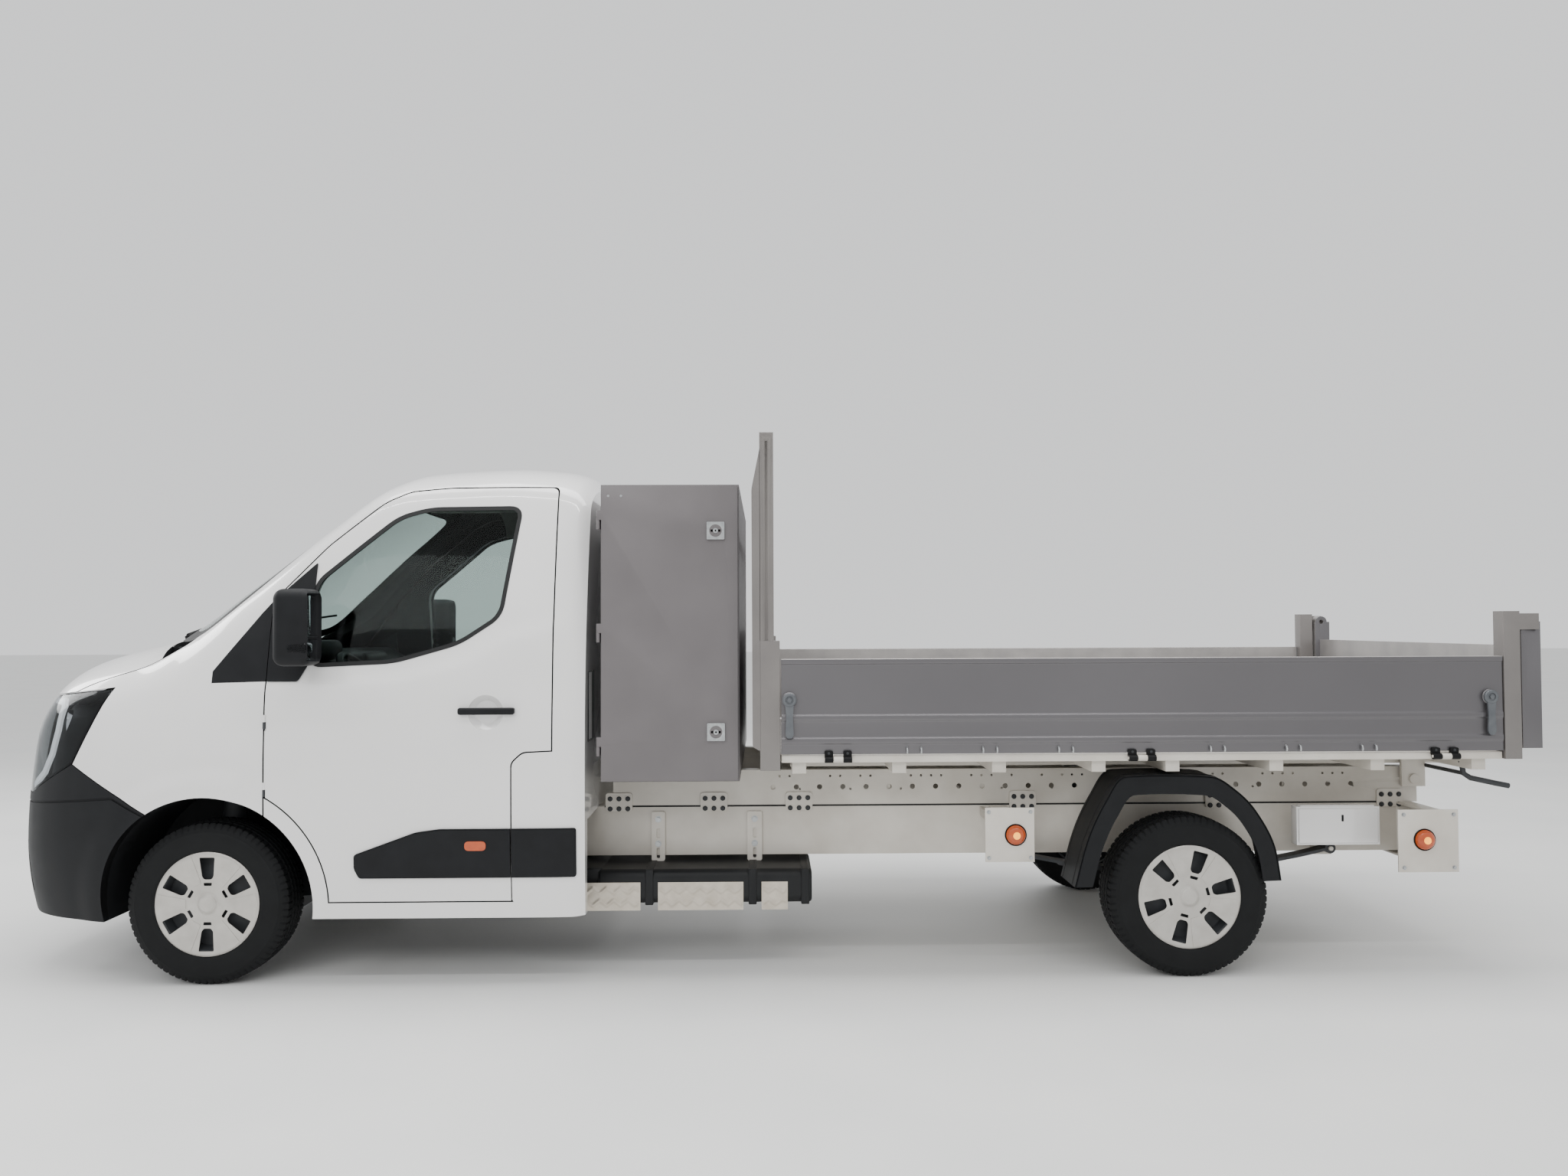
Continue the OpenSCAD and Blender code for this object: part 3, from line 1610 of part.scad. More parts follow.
module ram_barrel() {
  bore = ram_r - stage_t - stage_fit;
  color("#55585c") {
    on_ram()
      difference() {
        translate([0, 0, barrel_z[0] - stage_t])
          cylinder(r = ram_r, h = barrel_z[1] - barrel_z[0] + stage_t);
        translate([0, 0, barrel_z[0] + stage_t + cut])
          cylinder(r = bore, h = reach);
      }
    both_sides()
      bar_y([ram_base_x, ram_base_z], trunnion_r, [cradle_y[0], -bore - stage_t / 2]);
  }
}

module ram_tube(r, z) {
  translate([0, 0, z[0]])
    difference() {
      cylinder(r = r, h = z[1] - z[0]);
      translate([0, 0, stage_t])
        cylinder(r = r - stage_t, h = z[1]);
    }
}

stage_1_r = ram_r - stage_t - 2 * stage_fit;
stage_2_r = stage_1_r - stage_t - stage_fit;
rod_r = stage_2_r - stage_t - stage_fit;

module ram_stage_1() {
  color("#c9cccf")
    on_ram()
      ram_tube(stage_1_r, stage_1_z);
}

module ram_stage_2() {
  color("#c9cccf")
    on_ram()
      ram_tube(stage_2_r, stage_2_z);
}

module ram_rod() {
  color("#c9cccf")
    on_ram()
      difference() {
        union() {
          translate([0, 0, rod_low])
            cylinder(r = rod_r, h = ram_len - head_low - rod_low);
          translate([-head_half, -head_w / 2, ram_len - head_low])
            cube([2 * head_half, head_w, head_low + head_high]);
        }
        translate([-slot_half, -head_w, ram_len - slot_low])
          cube([2 * slot_half, 2 * head_w, slot_low + slot_high]);
      }
}

module placed() {
  translate([frame_x, 0, 0])
    children();
}

module right_side() {
  mirror([0, 1, 0])
    children();
}

placed() cab_body();
placed() cab_floor();
placed() cab_hinges();
placed() front_wings();
placed() bonnet();
placed() front_bumper();
placed() grille();
placed() headlamps();
placed() windscreen();
placed() cab_trim();
placed() door_left();
placed() door_right();
placed() door_glass();  // door_glass_left
placed() right_side() door_glass();  // door_glass_right
placed() door_fittings(true);  // door_fittings_left
placed() right_side() door_fittings(false);  // door_fittings_right
placed() dashboard();
placed() steering_wheel();
placed() seats();
placed() engine();
placed() frame_rails();
placed() frame_crossmembers();
placed() front_subframe();
placed() knuckle();  // knuckle_left
placed() right_side() knuckle();  // knuckle_right
placed() rear_axle();
placed() wheel_place(0) tyre();  // tyre_front_left
placed() right_side() wheel_place(0) tyre();  // tyre_front_right
placed() wheel_place(wheelbase) tyre();  // tyre_rear_left
placed() right_side() wheel_place(wheelbase) tyre();  // tyre_rear_right
placed() wheel_place(0) rim();  // rim_front_left
placed() right_side() wheel_place(0) rim();  // rim_front_right
placed() wheel_place(wheelbase) rim();  // rim_rear_left
placed() right_side() wheel_place(wheelbase) rim();  // rim_rear_right
placed() fuel_tank();
placed() heat_shields();
placed() rear_mudguards();
placed() rear_bar();
placed() lamps();
placed() subframe_rails();
placed() subframe_crossmembers();
placed() locker_body();
placed() locker_door();  // locker_door_left
placed() right_side() locker_door();  // locker_door_right
placed() bed_floor();
placed() bed_posts();
placed() headboard();
placed() drop_side();  // side_left
placed() right_side() drop_side();  // side_right
placed() tailgate();
placed() ram_barrel();
placed() ram_stage_1();
placed() ram_stage_2();
placed() ram_rod();
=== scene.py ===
import math

import bmesh
import bpy
import numpy as np
from mathutils import Matrix, Vector
from mathutils.bvhtree import BVHTree


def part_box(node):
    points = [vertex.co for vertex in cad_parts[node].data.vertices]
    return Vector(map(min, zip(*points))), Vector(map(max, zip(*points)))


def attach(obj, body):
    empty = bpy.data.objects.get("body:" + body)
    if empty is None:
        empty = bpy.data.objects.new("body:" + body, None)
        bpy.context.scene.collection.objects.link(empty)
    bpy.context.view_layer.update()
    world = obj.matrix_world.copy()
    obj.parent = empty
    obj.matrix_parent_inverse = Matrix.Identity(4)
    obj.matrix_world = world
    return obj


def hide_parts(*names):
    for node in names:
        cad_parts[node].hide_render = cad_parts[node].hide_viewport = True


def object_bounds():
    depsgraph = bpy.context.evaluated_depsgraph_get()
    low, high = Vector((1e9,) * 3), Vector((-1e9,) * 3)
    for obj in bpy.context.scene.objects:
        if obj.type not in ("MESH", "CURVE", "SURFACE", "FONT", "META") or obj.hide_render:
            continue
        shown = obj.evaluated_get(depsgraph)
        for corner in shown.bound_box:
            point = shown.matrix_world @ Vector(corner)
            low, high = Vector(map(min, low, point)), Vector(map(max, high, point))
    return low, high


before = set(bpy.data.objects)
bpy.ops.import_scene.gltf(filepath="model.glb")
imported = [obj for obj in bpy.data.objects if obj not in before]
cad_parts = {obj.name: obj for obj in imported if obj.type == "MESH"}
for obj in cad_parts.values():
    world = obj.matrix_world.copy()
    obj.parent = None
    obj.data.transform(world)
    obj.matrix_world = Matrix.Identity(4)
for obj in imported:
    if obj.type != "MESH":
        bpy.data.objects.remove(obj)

cad_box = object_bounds()

# Studio: a pale floor that runs out of sight, under broad soft lamps.
# The camera stands at the photograph's place, low beside the truck's left flank and almost square to it.


def linear(hex_colour):
    """An sRGB hex colour as linear red, green, blue and alpha."""
    parts = [int(hex_colour[i:i + 2], 16) / 255 for i in (1, 3, 5)]
    return tuple(p / 12.92 if p <= 0.04045 else ((p + 0.055) / 1.055) ** 2.4 for p in parts) + (1.0,)


def add_node(tree, kind, settings=None, **inputs):
    """A shader or geometry node with its settings; each input takes a value or another node's socket."""
    node = tree.nodes.new(kind)
    for name, value in (settings or {}).items():
        setattr(node, name, value)
    for name, value in inputs.items():
        socket = node.inputs[int(name[1:]) if name[0] == "i" and name[1:].isdigit()
                             else name.replace("_", " ")]
        if isinstance(value, bpy.types.NodeSocket):
            tree.links.new(value, socket)
        else:
            socket.default_value = value
    return node


def surface(name, colour, other, patch_mm, roughness, grain_mm, bump_mm, metallic=0.0, coat=0.0,
            spread=0.08, **inputs):
    """A material that drifts between two hex colours over patches, with a fine grain and any other inputs."""
    material = bpy.data.materials.new(name)
    material.use_nodes = True
    tree = material.node_tree
    shader = tree.nodes["Principled BSDF"]
    shader.inputs["Metallic"].default_value = metallic
    shader.inputs["Coat Weight"].default_value = coat
    shader.inputs["Coat Roughness"].default_value = 0.03
    for socket, value in inputs.items():
        shader.inputs[socket.replace("_", " ")].default_value = value
    place = add_node(tree, "ShaderNodeTexCoord").outputs["Object"]
    patches = add_node(tree, "ShaderNodeTexNoise", None, Vector=place, Scale=1000 / patch_mm, Detail=4.0)
    ramp = add_node(tree, "ShaderNodeValToRGB", None, Fac=patches.outputs["Fac"])
    for element, where, tone in zip(ramp.color_ramp.elements, (0.3, 0.7), (colour, other)):
        element.position = where
        element.color = linear(tone)
    rough = add_node(tree, "ShaderNodeMapRange", None, Value=patches.outputs["Fac"],
                     To_Min=roughness - spread, To_Max=roughness + spread)
    grain = add_node(tree, "ShaderNodeTexNoise", None, Vector=place, Scale=1000 / grain_mm, Detail=2.0)
    bump = add_node(tree, "ShaderNodeBump", None, Height=grain.outputs["Fac"], Strength=0.5,
                    Distance=bump_mm / 1000)
    tree.links.new(ramp.outputs["Color"], shader.inputs["Base Color"])
    tree.links.new(rough.outputs["Result"], shader.inputs["Roughness"])
    tree.links.new(bump.outputs["Normal"], shader.inputs["Normal"])
    return material


def shape(name, points, faces):
    """A new mesh object at the origin, with its faces turned outwards."""
    mesh = bpy.data.meshes.new(name)
    mesh.from_pydata([tuple(p) for p in points], [], faces)
    work = bmesh.new()
    work.from_mesh(mesh)
    bmesh.ops.recalc_face_normals(work, faces=work.faces)
    work.to_mesh(mesh)
    work.free()
    piece = bpy.data.objects.new(name, mesh)
    bpy.context.scene.collection.objects.link(piece)
    return piece


floor_half = 60.0
floor = shape("floor", [(x, y, 0.0) for x, y in ((-1, -1), (1, -1), (1, 1), (-1, 1))], [(0, 1, 2, 3)])
floor.data.transform(Matrix.Diagonal((floor_half, floor_half, 1.0, 1.0)))
# Sealed concrete, rolled smooth: pale grey with a faint cloudiness
floor.data.materials.append(surface("sealed_concrete", "#D6D7D6", "#DDDDDB", 900, 0.55, 6, 0.2))

world = bpy.data.worlds.new("studio")
bpy.context.scene.world = world
world.use_nodes = True
world.node_tree.nodes["Background"].inputs["Color"].default_value = linear("#F1F2F3")
world.node_tree.nodes["Background"].inputs["Strength"].default_value = 1.2

# Each lamp: place, aim, width, depth, watts, and whether its shape shows as a highlight in gloss
for lamp_name, at, aim, width, depth, watts, shows in (
    ("overhead", (0.0, -0.6, 6.5), (0.0, 0.0, 0.0), 9.0, 3.0, 480, True),
    ("camera_side", (-2.5, -9.0, 5.0), (-0.3, 0.0, 1.0), 8.0, 2.2, 330, False),
    ("front_rim", (-9.0, 2.0, 4.5), (-2.0, 0.0, 1.0), 4.0, 3.0, 260, True),
    ("far_side", (2.0, 8.5, 5.0), (0.0, 0.0, 1.0), 8.0, 3.0, 260, False),
    ("tube_row", (-0.6, -4.2, 5.6), (-0.6, 0.0, 0.9), 9.0, 0.10, 110, True),
):
    light = bpy.data.lights.new(lamp_name, "AREA")
    light.shape = "RECTANGLE"
    light.size, light.size_y, light.energy = width, depth, watts
    lamp = bpy.data.objects.new(lamp_name, light)
    lamp.location = at
    lamp.visible_glossy = shows
    lamp.rotation_euler = (Vector(aim) - Vector(at)).to_track_quat("-Z", "Y").to_euler()
    bpy.context.scene.collection.objects.link(lamp)

lens_mm, sensor_mm = 28.45, 36.0
yaw, pitch, roll = (math.radians(a) for a in (-0.8639, 1.6175, -0.2359))
level = Vector((math.cos(yaw), math.sin(yaw), 0.0))
ahead = Vector((-math.sin(yaw), math.cos(yaw), 0.0))
upward = Vector((0.0, 0.0, 1.0))
ahead, upward = (ahead * math.cos(pitch) + upward * math.sin(pitch),
                 upward * math.cos(pitch) - ahead * math.sin(pitch))
level, upward = (level * math.cos(roll) + upward * math.sin(roll),
                 upward * math.cos(roll) - level * math.sin(roll))
camera = bpy.data.objects.new("camera", bpy.data.cameras.new("camera"))
camera.data.lens, camera.data.sensor_width = lens_mm, sensor_mm
camera_at, camera_turn = (0.0274, -6.3359, 1.5361), Matrix((level, upward, -ahead)).transposed()
camera.matrix_world = Matrix.Translation(camera_at) @ camera_turn.to_4x4()
bpy.context.scene.collection.objects.link(camera)
bpy.context.scene.camera = camera

# Cab shell: pressed and welded steel body of roof, pillars, rear wall, floor and wheel tubs, in gloss white.
# Its form follows cross sections set along the cab, joined smoothly; outer panels fill the openings cut here.
nose_x = cad_box[0].x
cab_length, cab_height, cab_half = 2.622, 2.288, 1.035
axle_x, axle_z = nose_x + 1.010, 0.346
# Columns: place along the cab, underside, half width there, belt height, half width there,
# rail height, half width there, top; shares of the cab's length, height and half width
section_shares = np.array([
    [0.000, 0.184, 0.261, 0.253, 0.338, 0.297, 0.319, 0.356],
    [0.010, 0.153, 0.425, 0.253, 0.502, 0.323, 0.473, 0.415],
    [0.023, 0.131, 0.541, 0.258, 0.618, 0.372, 0.580, 0.511],
    [0.042, 0.120, 0.638, 0.262, 0.710, 0.424, 0.667, 0.564],
    [0.069, 0.116, 0.720, 0.271, 0.792, 0.455, 0.749, 0.590],
    [0.103, 0.116, 0.787, 0.288, 0.855, 0.476, 0.812, 0.608],
    [0.149, 0.116, 0.845, 0.306, 0.908, 0.494, 0.860, 0.622],
    [0.214, 0.116, 0.899, 0.332, 0.952, 0.511, 0.899, 0.639],
    [0.248, 0.116, 0.918, 0.345, 0.966, 0.522, 0.908, 0.650],
    [0.309, 0.116, 0.937, 0.363, 0.981, 0.546, 0.918, 0.699],
    [0.385, 0.118, 0.952, 0.385, 0.990, 0.612, 0.918, 0.763],
    [0.450, 0.120, 0.957, 0.398, 0.995, 0.682, 0.899, 0.816],
    [0.557, 0.125, 0.966, 0.415, 1.000, 0.804, 0.863, 0.898],
    [0.656, 0.125, 0.966, 0.415, 1.000, 0.892, 0.843, 0.971],
    [0.706, 0.125, 0.966, 0.415, 1.000, 0.907, 0.838, 0.989],
    [0.786, 0.125, 0.966, 0.415, 1.000, 0.913, 0.836, 0.997],
    [0.858, 0.125, 0.966, 0.415, 1.000, 0.916, 0.835, 1.000],
    [0.942, 0.125, 0.966, 0.415, 0.998, 0.911, 0.831, 0.993],
    [0.980, 0.125, 0.961, 0.415, 0.992, 0.900, 0.821, 0.981],
    [1.000, 0.127, 0.947, 0.415, 0.974, 0.883, 0.797, 0.955],
])
crown_power = 2.4
ring_shares = np.concatenate([np.linspace(0, 0.07, 22), np.linspace(0.07, 0.36, 40)[1:],
                              np.linspace(0.36, 0.74, 46)[1:], np.linspace(0.74, 0.94, 12)[1:],
                              np.linspace(0.94, 1, 9)[1:]])
side_wall, roof_wall, rear_wall, inner_drop = 0.055, 0.045, 0.050, 0.100
arch_lip, ledge_out = 0.012, 0.010
ledge_shares = [(0.40, 0.574), (0.552, 0.576), (0.690, 0.584), (0.800, 0.617), (0.870, 0.666), (0.99, 0.700)]


def follow(knots, values, at):
    """Values on a smooth curve through the knots that adds no waves of its own."""
    step = np.diff(knots)
    rise = np.diff(values) / step
    slope = np.concatenate([[rise[0]], np.zeros(len(rise) - 1), [rise[-1]]])
    same = rise[:-1] * rise[1:] > 0
    slope[1:-1][same] = (2 * rise[:-1] * rise[1:])[same] / (rise[:-1] + rise[1:])[same]
    i = np.clip(np.searchsorted(knots, at, side="right") - 1, 0, len(step) - 1)
    t = (at - knots[i]) / step[i]
    return ((1 + 2 * t) * (1 - t) ** 2 * values[i] + t * (1 - t) ** 2 * step[i] * slope[i]
            + t ** 2 * (3 - 2 * t) * values[i + 1] + t ** 2 * (t - 1) * step[i] * slope[i + 1])


def ease(low, high, at):
    """Rises smoothly from 0 at the low value to 1 at the high one."""
    t = np.clip((at - low) / (high - low), 0, 1)
    return t * t * (3 - 2 * t)


def pressing(x, z):
    """How far the flank swells out: a lip round the wheel arch and a ledge under the door window."""
    near_arch = 1 - ease(0.50, 0.60, np.hypot(x - axle_x, z - axle_z))
    lip = arch_lip * near_arch * (1 - ease(0.10, 0.20, x - axle_x))
    share = (x - nose_x) / cab_length
    below = np.interp(share, *np.transpose(ledge_shares)) * cab_height - z
    ledge = ledge_out * ease(0.0, 0.055, below) * (1 - ease(0.06, 0.30, below))
    return lip + ledge * ease(0.40, 0.50, share) * (1 - ease(0.93, 0.99, share))


def cab_loft(inset=0.0, roof_inset=None, drop=0.0, front_in=None, rear_in=None):
    """The cab's outer form, or the form at a depth inside its walls, as one closed shape."""
    roof_inset = inset if roof_inset is None else roof_inset
    front_in = max(inset, 0.0) if front_in is None else front_in
    rear_in = max(inset, 0.0) if rear_in is None else rear_in
    keep = (cab_length - front_in - rear_in) / cab_length
    rings = []
    columns = [follow(section_shares[:, 0], section_shares[:, c], ring_shares) for c in range(1, 8)]
    for share, zl, yl, zb, yb, zr, yr, zt in zip(ring_shares, *columns):
        zl, zb = zl * cab_height - drop, zb * cab_height
        zr, zt = zr * cab_height - roof_inset / 2, zt * cab_height - roof_inset
        yl, yb, yr = (w * cab_half - inset for w in (yl, yb, yr))
        lean, power = 2 * (yb - yr) / (zr - zb), 2 / crown_power
        low, high = np.linspace(0, 1, 17)[:-1], np.linspace(0, 1, 45)
        turn = np.radians(np.linspace(0, 90, 23)[1:-1])
        crown = (zt - zr) * np.sin(turn) ** power
        y = np.concatenate([yb - (yb - yl) * (1 - low) ** 2, yb - (yb - yr) * high ** 2,
                            (yr - lean * crown) * np.cos(turn) ** power, [0.0]])
        z = np.concatenate([zl + (zb - zl) * low, zb + (zr - zb) * high, zr + crown, [zt]])
        x = nose_x + front_in + share * cab_length * keep
        y += pressing(x, z)
        y, z = np.concatenate([y, -y[-2::-1]]), np.concatenate([z, z[-2::-1]])
        rings.append(np.stack([np.full(len(y), x), y, z], 1))
    count = len(rings[0])
    faces = [list(range(count)), list(range((len(rings) - 1) * count, len(rings) * count))]
    for r in range(len(rings) - 1):
        faces += [(r * count + i, r * count + (i + 1) % count,
                   (r + 1) * count + (i + 1) % count, (r + 1) * count + i) for i in range(count)]
    return shape("loft", np.concatenate(rings), faces)


def bake(piece):
    """Turns what an object's modifiers make into its plain mesh."""
    mesh = bpy.data.meshes.new_from_object(piece.evaluated_get(bpy.context.evaluated_depsgraph_get()))
    mesh.materials.clear()
    spent, piece.data = piece.data, mesh
    piece.modifiers.clear()
    bpy.data.meshes.remove(spent)
    return piece


def carve(piece, *cutters, how="DIFFERENCE"):
    """Cuts, meets or joins closed shapes; the cutters are used up."""
    for cutter in cutters:
        modifier = piece.modifiers.new("carve", "BOOLEAN")
        modifier.operation, modifier.solver, modifier.object = how, "MANIFOLD", cutter
        bake(piece)
        bpy.data.objects.remove(cutter)
    return piece


def prism(outline, axis, low, high):
    """A closed outline drawn out along an axis; the outline is in the other two axes, in X, Y, Z order."""
    place = {"X": (2, 0, 1), "Y": (0, 2, 1), "Z": (0, 1, 2)}[axis]
    count = len(outline)
    points = [[(a, b, t)[k] for k in place] for t in (low, high) for a, b in outline]
    sides = [(i, (i + 1) % count, count + (i + 1) % count, count + i) for i in range(count)]
    return shape("prism", points, [list(range(count)), list(range(count, 2 * count))] + sides)


def block(x, y, z):
    """A box between two values on each axis, for cutting and joining."""
    return prism([(x[0], y[0]), (x[1], y[0]), (x[1], y[1]), (x[0], y[1])], "Z", *z)


def disc(centre, radius, axis, low, high, sides=96):
    """A round bar along an axis."""
    turns = [2 * math.pi * i / sides for i in range(sides)]
    return prism([(centre[0] + radius * math.cos(a), centre[1] + radius * math.sin(a)) for a in turns],
                 axis, low, high)


def rounded(outline, radius, steps=5):
    """The outline with its corners eased by about a radius."""
    points = [Vector(p) for p in outline]
    eased = []
    for i, corner in enumerate(points):
        before, after = points[i - 1] - corner, points[(i + 1) % len(points)] - corner
        a = corner + before.normalized() * min(radius, before.length * 0.45)
        b = corner + after.normalized() * min(radius, after.length * 0.45)
        eased += [tuple(a * (1 - t) ** 2 + corner * 2 * t * (1 - t) + b * t ** 2)
                  for t in (k / steps for k in range(steps + 1))]
    return eased


def oblong(across, up, radius):
    """A rectangle between two values on each axis, with rounded corners."""
    return rounded([(across[0], up[0]), (across[1], up[0]), (across[1], up[1]), (across[0], up[1])], radius)


def grown(outline, by):
    """The outline moved outwards by a distance, or inwards where it is negative."""
    points = [Vector(p) for p in outline]
    area = sum(a.x * b.y - b.x * a.y for a, b in zip(points, points[1:] + points[:1]))
    moved = []
    for i, corner in enumerate(points):
        into = (corner - points[i - 1]).normalized()
        out = (points[(i + 1) % len(points)] - corner).normalized()
        normals = [Vector((d.y, -d.x)) * (1 if area > 0 else -1) for d in (into, out)]
        mitre = (normals[0] + normals[1])
        moved.append(tuple(corner + mitre * (by / max(1 + normals[0].dot(normals[1]), 0.3))))
    return moved


def beside(shares):
    """An outline in shares of the cab's length and height, seen from the side."""
    return [(nose_x + s * cab_length, t * cab_height) for s, t in shares]


def soften(piece, degrees=32):
    """Smooth shading, kept sharp across edges that turn more than an angle."""
    piece.data.shade_smooth()
    piece.data.set_sharp_from_angle(angle=math.radians(degrees))
    return piece


def dress(piece, name, body, replaced=(), materials=(), degrees=32):
    """Names a finished piece, gives it its materials and fixes it to the body that carries it."""
    piece.name = piece.data.name = name
    for material in materials:
        piece.data.materials.append(material)
    soften(piece, degrees)
    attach(piece, body)
    if replaced:
        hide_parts(*replaced)
    return piece


outer = cab_loft()
outer_tree = BVHTree.FromPolygons([v.co for v in outer.data.vertices],
                                  [p.vertices for p in outer.data.polygons])


def darken_deep_faces(piece, depth):
    """Gives faces deeper than a distance under the cab's outer form the second, darker material: the trim
    inside, and painted shade on the walls of gaps and slots.
    """
    for polygon in piece.data.polygons:
        if outer_tree.find_nearest(polygon.center)[3] > depth:
            polygon.material_index = 1


def copied(piece):
    """A separate copy of a shape."""
    twin = piece.copy()
    twin.data = piece.data.copy()
    bpy.context.scene.collection.objects.link(twin)
    return twin


def span(side, a, b):
    """A range across the truck on its left (-1) or right (1) side, low end first."""
    return sorted((side * a, side * b))


def inner_loft(extra=0.0):
    """The form of the space inside the cab's walls."""
    return cab_loft(side_wall + extra, roof_wall + extra, inner_drop, side_wall + extra, rear_wall + extra)


far = 5.0
door_edge_share = 0.4838
door_front = nose_x + door_edge_share * cab_length
shut_gap = 0.006
door_shares = [(door_edge_share, 0.157), (door_edge_share, 0.719), (0.569, 0.822), (0.661, 0.906),
               (0.701, 0.927), (0.768, 0.934), (0.947, 0.935), (0.947, 0.157)]
flap_shares = [(0.881, 0.150), (0.881, 0.414), (0.900, 0.434), (0.960, 0.437), (0.960, 0.150)]
window_shares = [(0.552, 0.594), (0.552, 0.752), (0.685, 0.878), (0.736, 0.894),
                 (0.889, 0.896), (0.862, 0.686), (0.795, 0.635), (0.690, 0.601)]
quarter_shares = [(0.390, 0.563), (0.390, 0.585), (0.464, 0.694), (0.4816, 0.7175), (0.4816, 0.566)]
bumper_shares = [(-0.1, 0.044), (-0.1, 0.350), (0.059, 0.350), (0.154, 0.410), (0.290, 0.321), (0.290, 0.044)]
lamp_shares = [(-0.1, 0.350), (0.059, 0.350), (0.154, 0.410), (0.212, 0.552), (0.086, 0.536), (-0.1, 0.519)]
bonnet_low_shares = [(-0.1, 0.519), (0.086, 0.536), (0.212, 0.552), (0.309, 0.552)]
wing_shares = [(0.023, 0.087), (0.023, 0.656), (0.339, 0.656), (0.385, 0.552), (door_edge_share, 0.552),
               (door_edge_share, 0.087)]
bonnet_rear_shares = [(0.225, 0), (0.238, 0.386), (0.2765, 0.773)]
screen_shares = [(0, 0.653), (0.773, 0.638), (0.812, 0.682), (0.676, 0.927), (0.600, 0.946), (0, 0.957)]
arch_radius, door_arch_radius, well_y = 0.460, 0.530, 0.500
lamp_y = 0.497
cowl_back = axle_x + 0.040
cowl_half = bonnet_rear_shares[2][1] * cab_half + 0.007
cowl_low = bonnet_low_shares[0][1] * cab_height


def wheel_well(side, extra=0.0):
    """The round space that a front wheel turns in."""
    ends = span(side, well_y - extra, far)
    return disc((axle_x, axle_z), arch_radius + extra, "Y", *ends)


def screen_zone(by=0.0):
    """Windscreen aperture, seen from the front."""
    half = [(y * cab_half, z * cab_height) for y, z in screen_shares]
    outline = rounded(grown(half + [(-y, z) for y, z in half[-2:0:-1]], by), 0.06)
    return prism(outline, "X", -far, nose_x + 0.70 * cab_length)


def bonnet_plan(gap):
    """Rear edge of the bonnet in plan, closed far ahead of the nose."""
    rear = [(nose_x + x * cab_length + 2 * gap, y * cab_half) for x, y in bonnet_rear_shares]
    half = rear[2][1] + gap
    return [(-far, half), (rear[2][0], half), rear[1], rear[0], (rear[1][0], -rear[1][1]),
            (rear[2][0], -half), (-far, -half)]


def bonnet_zone(gap):
    """What the bonnet covers, with a gap round it where it is cut from its neighbours."""
    low = [(x, z + shut_gap - gap) for x, z in beside(bonnet_low_shares)]
    above = prism(low + [(far, low[3][1]), (far, far), (low[0][0], far)], "Y", -far, far)
    return carve(prism(bonnet_plan(gap), "Z", 0.0, far), above, how="INTERSECT")


def door_zone(side, gap, flap):
    """Outline of a door, less the wheel arch ahead of it and the filler flap behind it."""
    ends = span(side, 0.0, far)
    zone = prism(rounded(grown(beside(door_shares), gap), 0.03), "Y", *ends)
    carve(zone, disc((axle_x, axle_z), door_arch_radius - gap, "Y", -far, far, 128))
    if flap:
        carve(zone, prism(rounded(grown(beside(flap_shares), -gap), 0.02), "Y", -far, far))
    return zone


shell = carve(copied(outer), inner_loft())
# Gloss two-pack white over primed steel: bright, faintly uneven, with a clear hard top coat
white_paint = surface("gloss_white_paint", "#D9D8D7", "#DFDEDD", 700, 0.22, 3, 0.02, coat=1.0, spread=0.03)
# Moulded grey trim with a fine leather grain, for what faces the inside of the cab; its near-black tone is
# partly painted shade, and on the deep walls of shut gaps and slots it is painted shade
dark_trim_and_shade = surface("grained_grey_trim", "#18191B", "#1F2022", 60, 0.62, 1.2, 0.12, Specular_IOR_Level=0.2)
floor_low, floor_top, rail_top = 0.700, 0.740, 0.690
tub_wall, painted_deep = 0.030, 0.006
firewall_x = (axle_x - 0.200, axle_x - 0.160)
seat_x, seat_box_top = (axle_x + 0.850, axle_x + 1.410), 0.930
driver_y, bench_y = (-0.800, -0.320), (-0.140, 0.800)
cab_back = nose_x + cab_length
cavity = carve(inner_loft(),
               block((firewall_x[0], far), (-far, far), (floor_low, floor_top)),
               block(firewall_x, (-far, far), (floor_low, 1.355)),
               block(seat_x, driver_y, (floor_low, seat_box_top)),
               block(seat_x, bench_y, (floor_low, seat_box_top)))
openings = carve(prism(beside(bumper_shares), "Y", -far, far),
                 prism(beside(lamp_shares), "Y", -far, far), bonnet_zone(shut_gap),
                 block((-far, cowl_back), (-cowl_half, cowl_half), (cowl_low, far)), how="UNION")
for side in (-1, 1):
    outboard = span(side, well_y, far)
    carve(cavity, wheel_well(side, tub_wall),
          block((door_front - 0.107, door_front - 0.0075), span(side, 0.975, 0.900),
                (floor_low, 0.719 * cab_height)),
          block((axle_x + 0.620, axle_x + 0.730), span(side, 0.560, 0.490), (rail_top, floor_low)))
    carve(openings, prism(beside(wing_shares), "Y", *outboard), prism(beside(quarter_shares), "Y", *outboard),
          door_zone(side, shut_gap, side < 0), how="UNION")
carve(openings, inner_loft(0.0005))
rib_pitch, rib_width, rib_depth = 0.150, 0.060, 0.012
louvre_y, louvre_pitch, louvre_half, louvre_deep = 0.90, 0.045, 0.009, 0.045
cab = carve(copied(outer), cavity, openings, wheel_well(-1), wheel_well(1), screen_zone(),
            block((cab_back - 0.130, far), (-0.930, 0.930), (-far, rail_top)))
for i in range(4):
    y = (i - 1.5) * rib_pitch
    rib = oblong((y - rib_width / 2, y + rib_width / 2), (0.82, 1.30), 0.02)
    carve(cab, prism(rib, "X", cab_back - rib_depth, far))
panel = oblong((-0.52, 0.52), (1.38, 1.93), 0.07)
carve(cab, prism(panel, "X", cab_back - rib_depth, far))
